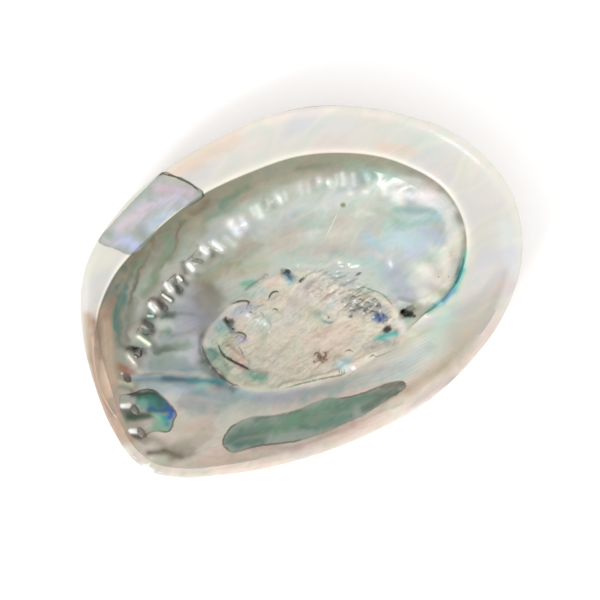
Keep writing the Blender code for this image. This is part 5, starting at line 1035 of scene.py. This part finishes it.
def inside_colours(points, at):
    """The pearl's broad colours, by place on the inside, with painted light over the bowl's far half, the
    row's painted glints and shade, and painted shade in the spire's way in.
    """
    x, y = points[..., 0], points[..., 1]
    rows = np.arange(points.shape[0])[:, None]
    first_nose = EDGE_STEPS + 1 + SHELF_STEPS
    first_wall = first_nose + NOSE_STEPS
    shelf = shelf_amount(at)[None, :]
    first_floor = first_wall + WALL_STEPS
    on_shelf = shelf * (1.0 - smooth(rows, first_nose, first_nose + NOSE_SHARE * NOSE_STEPS))
    nose = shelf * bell(rows - first_nose, NOSE_CREAM_STEPS)
    gutter = shelf * (1.0 - smooth(rows, first_floor, first_floor + GUTTER_SHARE * FLOOR_STEPS))
    inward = reach(RIM, at)[None, :] - np.hypot(x, y)
    slope = 1.0 - smooth(inward, *SLOPE_FADES)
    colours = linear(FLOOR) + 0.0 * points
    for amount, colour in (((1.0 - shelf) * slope, LIP_SLOPE), (gutter, GUTTER), (on_shelf, PEARL)):
        colours += (linear(colour) - colours) * amount[..., None]
    scar = 1.0 - smooth(scar_share(x, y), *SCAR_FADES)
    colours += (linear(SCAR_CHALK) - colours) * scar[..., None]
    bowl = 1.0 - on_shelf
    wavy = wandered(x, y)
    colours = tinted(colours, *wavy, BOWL_TINTS, bowl * (1.0 - scar))
    colours = tinted(colours, *wavy, SCAR_TINTS, scar)
    colours = tinted(colours, *wavy, SHELF_TINTS, 1.0 - bowl)
    for amount in (NOSE_CREAM * nose, EDGE_CREAM * (1.0 - smooth(inward, *EDGE_CREAM_FADES))):
        colours += (linear(SHELF_LIP) - colours) * amount[..., None]
    # painted light: the bowl's far half is made lighter over its shade
    colours *= (LIGHT * (1.0 + (BOWL_PAINTED_LIGHT - 1.0) * bowl * smooth(x, *FAR_HALF)))[..., None]
    # the row's painted glints and painted shade, then the strokes with the painted shade of the spire's way
    # in
    colours = tinted(colours, x, y, ROW_TINTS_SHADE_AND_GLINTS, bowl, ROW_LIGHT)
    return tinted(colours, x, y, STROKES, np.ones_like(x), LIGHT)


def layer_colours(points):
    """The deeper layer's colours under the three patches, with the row's painted glints and shade laid over
    them, and the colour and darkness of their edges.
    """
    x, y = points[..., 0], points[..., 1]
    everywhere = np.ones_like(x)
    colours = tinted(linear(LAYER) + 0.0 * points, *wandered(x, y), LAYER_TINTS, everywhere)
    colours = tinted(colours * LIGHT * LAYER_LIGHT, x, y, ROW_TINTS_SHADE_AND_GLINTS, everywhere, ROW_LIGHT)
    edges = tinted(linear(LAYER_EDGE) + 0.0 * points, x, y, EDGE_TINTS, everywhere) * LIGHT
    dark = np.zeros_like(x)
    for *ends, width, _, strength in EDGE_TINTS:
        dark = np.maximum(dark, strength * bell(from_stroke(x, y, *ends), 2.0 * width))
    return colours, edges, dark


def mark_values(points):
    """For each place: the side and nearness of the nearest mark, its colour and its strength.

    A mark of three places or more is a smooth line that tapers off at both ends. One of two places is a bar,
    and one of a single place is a dot.
    """
    x, y = points[..., 0], points[..., 1]
    near, side, share = np.full(x.shape, FAR), np.full(x.shape, MARK_REACH), np.zeros(x.shape)
    hues = np.zeros(points.shape)
    for corners, width, colour, strength in MARKS:
        corners = np.reshape(corners, (-1, 2))
        tapers = len(corners) > 2
        if tapers:
            line = smooth_outline(corners, MARK_STEPS, closed=False)
        else:
            line = corners[[0, -1]] + [(0.0, 0.0), (DOT_LENGTH, 0.0)]
        for i, (start, end) in enumerate(zip(line, line[1:])):
            half = width
            if tapers:
                taper = min(1.0, (i + 0.4) / MARK_TAPER, (len(line) - 1.4 - i) / MARK_TAPER)
                half *= max(taper, MARK_THINNEST) * (1.0 + MARK_WAVER * sin(1.9 * i + start[0]))
            gap = from_stroke(x, y, *start, *end) - half
            u, v = end - start
            across = ((x - start[0]) * v - (y - start[1]) * u) / np.hypot(u, v) if tapers else gap + half
            closer = gap < near
            near, side = np.where(closer, gap, near), np.where(closer, across / half, side)
            share, hues[closer] = np.where(closer, strength, share), linear(colour) * MARK_LIGHT
    return np.clip(near, -2.0, MARK_REACH), np.clip(side, -MARK_REACH, MARK_REACH), hues, share


def joined(inside, back):
    """One closed mesh of both surfaces, in metres, and the rule that lays out values given for each."""
    count = inside.shape[1]

    def rings(start, number):
        return start + np.arange(number)[:, None] * count + np.arange(count)[None, :]

    def faces(ring, middle, turned):
        a, b = ring[:-1], ring[1:]
        quads = np.stack([np.roll(a, 1, axis=1), a, b, np.roll(b, 1, axis=1)], axis=2).reshape(-1, 4)
        last = ring[-1]
        fan = np.stack([np.roll(last, 1), last, np.full(count, middle)], axis=1)
        return [(f[::-1] if turned else f).tolist() for f in (*quads, *fan)]

    def laid(of_inside, of_back):
        parts = of_inside[:-1], of_inside[-1:, :1], of_back[1:-1], of_back[-1:, :1]
        return np.concatenate([part.reshape(-1, *part.shape[2:]) for part in parts])

    top = (len(inside) - 1) * count
    under = top + 1
    bottom = under + (len(back) - 2) * count
    back_rings = np.concatenate([rings(0, 1), rings(under, len(back) - 2)])
    mesh = bpy.data.meshes.new("abalone_shell")
    made = faces(rings(0, len(inside) - 1), top, False) + faces(back_rings, bottom, True)
    mesh.from_pydata(laid(inside, back) * MM, [], made)
    return mesh, laid


def keep(mesh, name, values):
    """Stores a value for each point of a mesh."""
    values = np.asarray(values, dtype=np.float32)
    if values.ndim == 1:
        mesh.attributes.new(name, "FLOAT", "POINT").data.foreach_set("value", values)
        return
    opaque = np.concatenate([values, np.ones((len(values), 1), np.float32)], axis=1)
    mesh.attributes.new(name, "FLOAT_COLOR", "POINT").data.foreach_set("color", opaque.ravel())


def shell_on_table():
    """Both surfaces where the solid stands, and the raw places they were drawn at."""
    at = directions(DIRECTIONS)
    drawn = inside_surface(at), back_surface(at)
    moved = [points.copy() for points in drawn]
    for points in moved:
        points[..., 2] += LEAN_X * points[..., 0] + LEAN_Y * points[..., 1]
    every = np.concatenate([points.reshape(-1, 3) for points in moved])
    low, high = every.min(axis=0), every.max(axis=0)
    box = np.array(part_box("abalone_shell")) / MM
    shift = np.array([*(0.5 * (box[0] + box[1] - low - high))[:2], box[1][2] - high[2]])
    return at, drawn, [points + shift for points in moved], shift


def dressed_mesh(at, drawn, placed_at):
    """The closed mesh with the values that its materials and ribs read."""
    mesh, laid = joined(*placed_at)
    inside, back = drawn
    x, y = inside[..., 0], inside[..., 1]
    below, behind = 0.0 * back[..., 0], 0.0 * back
    rows = np.arange(BACK_STEPS + 1)[:, None] + below
    deeper, edge, dark = layer_colours(inside)
    near, side, hues, share = mark_values(inside)
    on_top = np.arange(len(inside))[:, None] < EDGE_STEPS + 1 + SHELF_STEPS + NOSE_STEPS
    values = {
        "tint": (inside_colours(inside, at), behind + linear(PEARL) * LIGHT),
        "outside": (0.0 * x, smooth(rows, *OUTSIDE_STARTS)),
        "ribbed": (0.0 * x, smooth(rows, *RIBS_START)),
        "layer": (deeper, behind),
        "edge": (edge, behind),
        "edge_dark": (dark, below),
        "mark_near": (near, MARK_REACH + below),
        "mark_side": (side, MARK_REACH + below),
        "mark_hue": (hues, behind),
        "mark_share": (share, below),
        "growth": [np.clip(growth(p[..., 0], p[..., 1]), 0.01, 1.5) for p in drawn],
        "inward": (reach(RIM, at)[None, :] - np.hypot(x, y), below),
        "shelf": (shelf_amount(at)[None, :] * on_top, below),
    }
    outlines = {"scar": SCAR, "lilac": LILAC_PATCH, "teal": TEAL_PATCH, "green": GREEN_PATCH}
    values.update({name: (beyond(x, y, outline), CLEAR + below) for name, outline in outlines.items()})
    for name, (of_inside, of_back) in values.items():
        keep(mesh, name, laid(of_inside, of_back))
    return mesh


def add(tree, kind, sources=(), out=0, stops=(), **settings):
    """Adds a node with its settings, a ramp's stops and its inputs' values or links; returns one output."""
    made = tree.nodes.new(kind)
    for name, value in settings.items():
        setattr(made, name, value)
    for _ in stops[2:]:
        made.color_ramp.elements.new(0.5)
    for element, (position, colour) in zip(made.color_ramp.elements if stops else (), stops):
        element.position, element.color = position, (*linear(colour), 1.0)
    for socket, source in sources.items() if isinstance(sources, dict) else enumerate(sources):
        if isinstance(source, bpy.types.NodeSocket):
            tree.links.new(source, made.inputs[socket])
        else:
            made.inputs[socket].default_value = source
    return made.outputs if out is None else made.outputs[out]


def new_tree(name, wants):
    """A geometry node tree from geometry to geometry, with named number inputs."""
    tree = bpy.data.node_groups.new(name, "GeometryNodeTree")
    for way in ("INPUT", "OUTPUT"):
        tree.interface.new_socket("Geometry", in_out=way, socket_type="NodeSocketGeometry")
    for want, value in wants.items():
        tree.interface.new_socket(want, in_out="INPUT", socket_type="NodeSocketFloat").default_value = value
    return tree


def growth_ribs(inner, outer):
    """Node tree: raises growth ribs, spiral cords and crust outside, and gives each side its material."""
    wants = {"Rib height": RIB_HEIGHT * MM, "Ribs": RIBS, "Cord height": CORD_HEIGHT * MM, "Cords": CORDS}
    wants.update({"Crust height": CRUST_HEIGHT * MM, "Spire X": 0.0, "Spire Y": 0.0})
    tree = new_tree("growth_ribs", wants)
    node = partial(add, tree)
    given = node("NodeGroupInput", out=None)
    wanted = ("growth", "outside", "ribbed")
    size, outside, ribbed = (node(STORED, [name], data_type="FLOAT") for name in wanted)
    place = node("GeometryNodeInputPosition")
    parts = node("ShaderNodeSeparateXYZ", [place], out=None)
    across = node(MATH, [parts["X"], given["Spire X"]], operation="SUBTRACT")
    up = node(MATH, [parts["Y"], given["Spire Y"]], operation="SUBTRACT")
    turn = node(MATH, [up, across], operation="ARCTAN2")
    broad = node(NOISE, {"Vector": place, "Scale": 70.0, "Detail": 2.0})
    fine = node(NOISE, {"Vector": place, "Scale": 420.0, "Detail": 4.0, "Roughness": 0.6})

    # ribs rise slowly and drop steeply, as each growth rest leaves them
    phase = node(MATH, [size, given["Ribs"]], operation="MULTIPLY")
    phase = node(MATH, [broad, 5.0, phase], operation="MULTIPLY_ADD")
    rib = node(MATH, [node(MATH, [phase], operation="FRACT"), 2.5], operation="POWER")
    rib = node(MATH, [rib, given["Rib height"]], operation="MULTIPLY")
    worn = node(MATH, [broad, 1.6, 0.1], operation="MULTIPLY_ADD")
    rib = node(MATH, [rib, worn], operation="MULTIPLY")

    # cords run along the coil
    whorls = node(MATH, [size, 2.718], operation="LOGARITHM")
    whorls = node(MATH, [whorls, 1.6, turn], operation="MULTIPLY_ADD")
    cord = node(MATH, [node(MATH, [whorls, given["Cords"]], operation="MULTIPLY")], operation="SINE")
    height = node(MATH, [cord, given["Cord height"], rib], operation="MULTIPLY_ADD")
    crust = node(MATH, [fine, 0.5], operation="SUBTRACT")
    height = node(MATH, [crust, given["Crust height"], height], operation="MULTIPLY_ADD")
    height = node(MATH, [height, ribbed], operation="MULTIPLY")
    normal = node("GeometryNodeInputNormal")
    offset = node("ShaderNodeVectorMath", {0: normal, "Scale": height}, operation="SCALE")
    whole = node("GeometryNodeSetPosition", {"Geometry": given["Geometry"], "Offset": offset})
    whole = node("GeometryNodeRealizeInstances", [whole])
    whole = node(MATERIAL, {"Geometry": whole, "Material": inner})
    far = node(MATH, [outside, 0.4], operation="GREATER_THAN")
    whole = node(MATERIAL, {"Geometry": whole, "Selection": far, "Material": outer})
    node("NodeGroupOutput", [whole], out=None)
    return tree


def siphon_rims_tree(material):
    """Node tree: one raised rim at each breathing hole, turned to the shell's surface."""
    wants = {"Hole length": HOLE_LONG * MM, "Hole width": HOLE_SHORT * MM, "Rim thickness": SIPHON_WALL * MM}
    tree = new_tree("siphon_rims", {**wants, "Rim over hole": SIPHON_OVER * MM})
    node = partial(add, tree)
    given = node("NodeGroupInput", out=None)
    radii = [
        node(MATH, [given[name], 0.5, given["Rim over hole"]], operation="MULTIPLY_ADD")
        for name in ("Hole length", "Hole width")
    ]
    oval = node("ShaderNodeCombineXYZ", [*radii, 1.0])
    ring = node(CIRCLE, {"Resolution": SIPHON_STEPS, "Radius": 1.0})
    ring = node("GeometryNodeTransform", {"Geometry": ring, "Scale": oval})
    section = node(CIRCLE, {"Resolution": SIPHON_WALL_STEPS, "Radius": given["Rim thickness"]})
    rim = node("GeometryNodeCurveToMesh", {"Curve": ring, "Profile Curve": section})
    way_out, along = (node(STORED, [name], data_type="FLOAT_VECTOR") for name in ("way_out", "along"))
    turn = node(TURN, {"Vector": way_out}, axis="Z")
    turn = node(TURN, {"Rotation": turn, "Vector": along}, axis="X", pivot_axis="Z")
    size = node(STORED, ["size"], data_type="FLOAT")
    placed = {"Points": given["Geometry"], "Instance": rim, "Rotation": turn, "Scale": size}
    whole = node("GeometryNodeRealizeInstances", [node("GeometryNodeInstanceOnPoints", placed)])
    whole = node("GeometryNodeSetShadeSmooth", [whole])
    whole = node(MATERIAL, {"Geometry": whole, "Material": material})
    node("NodeGroupOutput", [whole], out=None)
    return tree


def with_tree(thing, tree, **values):
    """Puts a node tree on an object and sets its named inputs by their identifiers."""
    worn = thing.modifiers.new(tree.name, "NODES")
    worn.node_group = tree
    for item in tree.interface.items_tree:
        if item.in_out == "INPUT" and item.name in values:
            worn[item.identifier] = values[item.name]


def in_scene(name, data):
    """A new object that holds the data, in the scene."""
    made = bpy.data.objects.new(name, data)
    bpy.context.collection.objects.link(made)
    return made


def settled(thing, name):
    """The object's evaluated shape as a plain mesh on a fresh object, with nothing left below the table."""
    plain = bpy.data.meshes.new_from_object(thing.evaluated_get(bpy.context.evaluated_depsgraph_get()))
    plain.name = name
    bpy.data.objects.remove(thing, do_unlink=True)
    places = np.empty(3 * len(plain.vertices), np.float32)
    plain.vertices.foreach_get("co", places)
    places[2::3] = np.maximum(places[2::3], 0.0)
    plain.vertices.foreach_set("co", places)
    plain.update()
    return in_scene(name, plain)


def hole_axes(inside):
    """For each breathing hole: a place on the inside, the way through the wall and the way along the row."""
    normals = outward(inside)
    for number, (hx, hy, _, _) in enumerate(HOLES):
        gap = np.hypot(inside[..., 0] - hx, inside[..., 1] - hy)
        gap[: EDGE_STEPS + SHELF_STEPS + NOSE_STEPS] = FAR
        at = np.unravel_index(np.argmin(gap), gap.shape)
        through = Vector(normals[at])
        other = HOLES[number + 1] if number + 1 < len(HOLES) else HOLES[number - 1]
        row = Vector((other[0] - hx, other[1] - hy, 0.0))
        yield Vector(inside[at]), through, (row - through * row.dot(through)).normalized()


def open_hole(mesh, spot, through, along):
    """Opens an oval hole through both surfaces and closes its wall."""
    side = through.cross(along)
    length, width = 0.5 * HOLE_LONG * MM, 0.5 * HOLE_SHORT * MM

    def seen_along(place):
        gap = place - spot
        return gap.dot(along) / length, gap.dot(side) / width, gap.dot(through)

    doomed = []
    for face in mesh.faces:
        u, v, height = seen_along(face.calc_center_median())
        if u * u + v * v < 1.0 and abs(height) < 0.5 * HOLE_BAR * MM:
            doomed.append(face)
    bmesh.ops.delete(mesh, geom=doomed, context="FACES")
    edges = [edge for edge in mesh.edges if edge.is_boundary]
    points = {point for edge in edges for point in edge.verts}
    for point in points:
        u, v, height = seen_along(point.co)
        share = (u * u + v * v) ** 0.5
        point.co = spot + along * (length * u / share) + side * (width * v / share) + through * height
    near = {edge.other_vert(point) for point in points for edge in point.link_edges} - points
    every_way = {"use_axis_x": True, "use_axis_y": True, "use_axis_z": True}
    bmesh.ops.smooth_vert(mesh, verts=list(near), factor=0.5, **every_way)
    for face in bmesh.ops.bridge_loops(mesh, edges=edges)["faces"]:
        face.material_index = 0


def opened(thing, axes):
    """Cuts the open breathing holes."""
    mesh = bmesh.new()
    mesh.from_mesh(thing.data)
    for spot, through, along in axes:
        open_hole(mesh, spot * MM, through, along)
    bmesh.ops.recalc_face_normals(mesh, faces=mesh.faces)
    mesh.to_mesh(thing.data)
    mesh.free()


def shader_of(name, **settings):
    """A new material with one principled shader; returns the material, its tree and the shader."""
    material = bpy.data.materials.new(name)
    material.use_nodes = True
    tree = material.node_tree
    shader = tree.nodes["Principled BSDF"]
    for socket, value in settings.items():
        shader.inputs[socket.replace("_", " ")].default_value = value
    return material, tree, shader


def table_place(node, shift, upright):
    """The place on the shell in the tables' millimetres, flat or with its height."""
    place = node("ShaderNodeTexCoord", out="Object")
    scale = (1 / MM, 1 / MM, upright / MM)
    return node("ShaderNodeVectorMath", [place, scale, (-shift[0], -shift[1], 0.0)], operation="MULTIPLY_ADD")


def polished_nacre(shift):
    """Mother-of-pearl ground and polished by hand: glossy, with slow drifts of pink, green and blue.

    The muscle scar was left as it grew, chalky and creased. Three patches show a deeper, darker layer.
    """
    material, tree, shader = shader_of(
        "polished_nacre", IOR=1.56, Coat_Weight=0.2, Coat_Roughness=0.12, Coat_IOR=1.5
    )
    node = partial(add, tree)
    mm = table_place(node, shift, 0.0)
    tint = node(VALUE, out="Color", attribute_name="tint")
    inward, shelf, size, scar_gap = (
        node(VALUE, out="Fac", attribute_name=name) for name in ("inward", "shelf", "growth", "scar")
    )

    # slow drifts of pearl colour, 8 to 30 mm across, drawn out along the shell
    drawn = node("ShaderNodeMapping", {"Vector": mm, "Rotation": DRIFT_TURN, "Scale": DRIFT_SCALE})
    drift = node(NOISE, {"Vector": drawn, "Scale": 0.045, "Detail": 2.0, "Roughness": 0.5})
    finer = node(NOISE, {"Vector": drawn, "Scale": 0.16, "Detail": 4.0, "Roughness": 0.55, "Distortion": 0.7})
    pearl = node(RAMP, [node(EASE, [drift, 0.25, 0.75], **SOFT)], stops=PEARL_DRIFT)
    fleck = node(RAMP, [node(EASE, [finer, 0.25, 0.75], **SOFT)], stops=PEARL_FLECK)
    bowl = node(MATH, [1.0, shelf], operation="SUBTRACT")
    amount = node(MATH, [bowl, 0.1, 0.45], operation="MULTIPLY_ADD")
    colour = node(MIX, {0: amount, 6: tint, 7: pearl}, **OVER, blend_type="MULTIPLY")
    amount = node(MATH, [bowl, 0.26, 0.06], operation="MULTIPLY_ADD")
    colour = node(MIX, {0: amount, 6: colour, 7: fleck}, **OVER, blend_type="MULTIPLY")

    # growth lines, 2 to 3 mm apart, faint on the outer lip
    wave = node(MATH, [size, 170.0], operation="MULTIPLY")
    wave = node(MATH, [finer, 14.0, wave], operation="MULTIPLY_ADD")
    wave = node(MATH, [node(MATH, [wave], operation="SINE"), 0.5, 0.5], operation="MULTIPLY_ADD")
    near_rim = node(EASE, [inward, 10.0, 26.0, 1.0, 0.0], **SOFT)
    near_rim = node(MATH, [near_rim, bowl], operation="MULTIPLY")
    near_rim = node(MATH, [near_rim, 0.12], operation="MULTIPLY")
    lines = node(MATH, [wave, near_rim], operation="MULTIPLY")
    colour = node(MIX, {0: lines, 6: colour, 7: (*linear(GROWTH_LINE), 1.0)}, **OVER)

    # the scar: chalky, finely mottled
    on_scar = node(EASE, [scar_gap, -2.2, 0.8, 1.0, 0.0], **SOFT)
    creases = node("ShaderNodeMapping", {"Vector": mm, "Rotation": CREASE_TURN, "Scale": CREASE_SCALE})
    mottle = node(NOISE, {"Vector": mm, "Scale": 0.6, "Detail": 6.0, "Roughness": 0.65, "Distortion": 0.8})
    skin = node(NOISE, {"Vector": creases, "Scale": 0.8, "Detail": 5.0, "Roughness": 0.62, "Distortion": 1.2})
    chalk = node(RAMP, [node(EASE, [skin, 0.3, 0.68], **SOFT)], stops=SCAR_SKIN)
    amount = node(MATH, [on_scar, 0.22], operation="MULTIPLY")
    colour = node(MIX, {0: amount, 6: colour, 7: chalk}, **OVER, blend_type="MULTIPLY")

    # three patches of the deeper layer, each with a thin dark edge
    layer = node(VALUE, out="Color", attribute_name="layer")
    layer = node(MIX, {0: 0.45, 6: layer, 7: fleck}, **OVER, blend_type="MULTIPLY")
    edge = node(VALUE, out="Color", attribute_name="edge")
    dark, lilac, teal, green = (
        node(VALUE, out="Fac", attribute_name=name) for name in ("edge_dark", "lilac", "teal", "green")
    )
    gap = node(MATH, [lilac, node(MATH, [teal, green], operation="MINIMUM")], operation="MINIMUM")
    ragged = node(MATH, [mottle, 0.8, -0.4], operation="MULTIPLY_ADD")
    gap = node(MATH, [gap, ragged], operation="ADD")
    within = node(EASE, [gap, -0.25, 0.1, 1.0, 0.0], **SOFT)
    amount = node(MATH, [within, 0.95], operation="MULTIPLY")
    colour = node(MIX, {0: amount, 6: colour, 7: layer}, **OVER)
    rim = node(EASE, [node(MATH, [gap], operation="ABSOLUTE"), 0.1, 0.45, 1.0, 0.0], **SOFT)
    amount = node(MATH, [rim, dark], operation="MULTIPLY")
    colour = node(MIX, {0: amount, 6: colour, 7: edge}, **OVER)

    # cracks, scratches and flecks, and the painted glints, painted dark reflections and painted shade among
    # the marks, with a soft edge
    side, near, share = (
        node(VALUE, out="Fac", attribute_name=name) for name in ("mark_side", "mark_near", "mark_share")
    )
    side = node(MATH, [node(MATH, [side], operation="ABSOLUTE"), ragged], operation="ADD")
    thin = node(EASE, [side, 0.35, 1.25, 1.0, 0.0], **SOFT)
    close = node(EASE, [near, 0.1, 0.45, 1.0, 0.0], **SOFT)
    marked = node(MATH, [thin, close], operation="MULTIPLY")
    marked = node(MATH, [marked, share], operation="MULTIPLY")
    mark = node(VALUE, out="Color", attribute_name="mark_hue")
    colour = node(MIX, {0: marked, 6: colour, 7: mark}, **OVER)
    tree.links.new(colour, shader.inputs["Base Color"])

    # gloss: bright on the polished pearl, duller on the shelf and scar, less mirror on the deeper layer
    gloss = node(MATH, [shelf, 0.18, 0.26], operation="MULTIPLY_ADD")
    gloss = node(MATH, [on_scar, 0.15, gloss], operation="MULTIPLY_ADD")
    tree.links.new(gloss, shader.inputs["Roughness"])
    mirror = node(MATH, [within, -0.35, 0.5], operation="MULTIPLY_ADD")
    tree.links.new(mirror, shader.inputs["Specular IOR Level"])

    # skin of the scar, 0.3 mm deep, and the faint unevenness of hand polishing
    height = node(MATH, [mottle, 0.5, -0.75], operation="MULTIPLY_ADD")
    height = node(MATH, [height, skin], operation="ADD")
    depth = node(MATH, [on_scar, 0.5], operation="MULTIPLY")
    height = node(MATH, [height, depth], operation="MULTIPLY")
    height = node(MATH, [finer, 0.2, height], operation="MULTIPLY_ADD")
    height = node(MATH, [lines, 0.25, height], operation="MULTIPLY_ADD")
    bump = node("ShaderNodeBump", {"Strength": 1.0, "Distance": MM, "Height": height})
    tree.links.new(bump, shader.inputs["Normal"])
    return material


def weathered_outside(shift):
    """The shell's own chalky outer layer: dull bands of red brown, tan and olive, with pale worn places."""
    material, tree, shader = shader_of("weathered_outside", IOR=1.5, Roughness=0.72)
    node = partial(add, tree)
    mm = table_place(node, shift, 1.0)
    size = node(VALUE, out="Fac", attribute_name="growth")
    broad = node(NOISE, {"Vector": mm, "Scale": 0.06, "Detail": 3.0, "Distortion": 0.8})
    fine = node(NOISE, {"Vector": mm, "Scale": 0.4, "Detail": 8.0, "Roughness": 0.6, "Distortion": 0.6})
    bands = node(MATH, [size, 7.0], operation="MULTIPLY")
    bands = node(MATH, [broad, 0.9, bands], operation="MULTIPLY_ADD")
    colour = node(RAMP, [node(MATH, [bands], operation="FRACT")], stops=OUTSIDE_BANDS)
    worn = node(RAMP, [node(EASE, [fine, 0.3, 0.72], **SOFT)], stops=OUTSIDE_WEAR)
    colour = node(MIX, {0: 0.75, 6: colour, 7: worn}, **OVER, blend_type="MULTIPLY")
    chalk = node(MATH, [broad, 0.6], operation="MULTIPLY")
    chalk = node(MATH, [fine, 0.5, chalk], operation="MULTIPLY_ADD")
    chalk = node(EASE, [chalk, 0.56, 0.74, 0.0, 0.7], **SOFT)
    colour = node(MIX, {0: chalk, 6: colour, 7: (*linear(OUTSIDE_CHALK), 1.0)}, **OVER)
    tree.links.new(colour, shader.inputs["Base Color"])
    height = node(MATH, [fine, 0.9], operation="MULTIPLY")
    bump = node("ShaderNodeBump", {"Strength": 0.8, "Distance": MM, "Height": height})
    tree.links.new(bump, shader.inputs["Normal"])
    return material


def siphon_rims(axes, shell, material):
    """Sets a raised rim where each hole comes out on the back, smaller on each older hole."""
    surface = BVHTree.FromPolygons([v.co for v in shell.vertices], [p.vertices for p in shell.polygons])
    places = [
        surface.ray_cast((spot - through * HOLE_BAR) * MM, through)[0] + through * SIPHON_SINK * MM
        for spot, through, _ in axes
    ]
    mesh = bpy.data.meshes.new("siphon_rims")
    mesh.from_pydata(places, [], [])
    ways = {"way_out": [-through for _, through, _ in axes], "along": [along for _, _, along in axes]}
    for name, values in ways.items():
        flat = np.array(values, np.float32).ravel()
        mesh.attributes.new(name, "FLOAT_VECTOR", "POINT").data.foreach_set("vector", flat)
    keep(mesh, "size", 1.0 - SIPHON_SHRINK * np.arange(len(axes)))
    thing = in_scene("siphon_rims", mesh)
    with_tree(thing, siphon_rims_tree(material))
    return settled(thing, "siphon_rims")


def make_shell():
    """The shell with its open holes, and the raised rims round all its breathing holes."""
    at, drawn, stands, shift = shell_on_table()
    inner, outer = polished_nacre(shift), weathered_outside(shift)
    shell = in_scene("shell", dressed_mesh(at, drawn, stands))
    spire = {f"Spire {axis}": (SPIRE[i] + shift[i]) * MM for i, axis in enumerate("XY")}
    with_tree(shell, growth_ribs(inner, outer), **spire)
    axes = list(hole_axes(stands[0]))
    shell = settled(shell, "shell")
    rims = siphon_rims(axes, shell.data, outer)
    opened(shell, axes[:OPEN_HOLES])
    shell.data.shade_smooth()
    shell.data.set_sharp_from_angle(angle=radians(SHARP_FROM))
    return [shell, rims]


def seen(right, up, height):
    """A place given as the photograph shows it: to the right of the middle, up and towards the camera."""
    turn = radians(VIEW_TURN)
    return Vector((right * cos(turn) + up * sin(turn), -right * sin(turn) + up * cos(turn), height))


def camera():
    """Straight above, with a long lens, turned as the photograph shows the shell."""
    lens = bpy.data.cameras.new("camera")
    lens.sensor_width = 36.0
    lens.lens = lens.sensor_width * VIEW_FROM / VIEW_WIDTH
    lens.clip_end = 20.0
    made = in_scene("camera", lens)
    place = Vector((VIEW_AIM[0] * MM, VIEW_AIM[1] * MM, RIM_LEVEL + VIEW_FROM))
    made.matrix_world = Matrix.Translation(place) @ Matrix.Rotation(radians(-VIEW_TURN), 4, "Z")
    bpy.context.scene.camera = made


def softbox(name, place, size, power):
    """A soft studio light facing the shell."""
    lamp = bpy.data.lights.new(name, "AREA")
    lamp.shape = "RECTANGLE"
    lamp.size, lamp.size_y = size
    lamp.energy = power
    aim = Vector((0.0, 0.0, LIGHT_AIM)) - place
    turned = aim.to_track_quat("-Z", "Y").to_matrix().to_4x4()
    in_scene(name, lamp).matrix_world = Matrix.Translation(place) @ turned


def studio():
    """A white table, even white light all round and two soft boxes."""
    mesh = bmesh.new()
    bmesh.ops.create_grid(mesh, x_segments=1, y_segments=1, size=TABLE_HALF)
    table = in_scene("table", bpy.data.meshes.new("table"))
    mesh.to_mesh(table.data)
    mesh.free()
    white = shader_of("white_table", Base_Color=TABLE_WHITE, Roughness=0.9, Specular_IOR_Level=0.1)[0]
    table.data.materials.append(white)
    world = bpy.data.worlds.new("studio")
    world.use_nodes = True
    sky = world.node_tree.nodes["Background"]
    sky.inputs["Color"].default_value = (1.0, 1.0, 1.0, 1.0)
    sky.inputs["Strength"].default_value = SKY_POWER
    bpy.context.scene.world = world
    for name, place, size, power in SOFTBOXES:
        softbox(name, seen(*place), size, power)
    bpy.context.scene.view_settings.view_transform = "Standard"


camera()
pieces = make_shell()
for piece in pieces:
    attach(piece, "root")
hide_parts("abalone_shell")
studio()
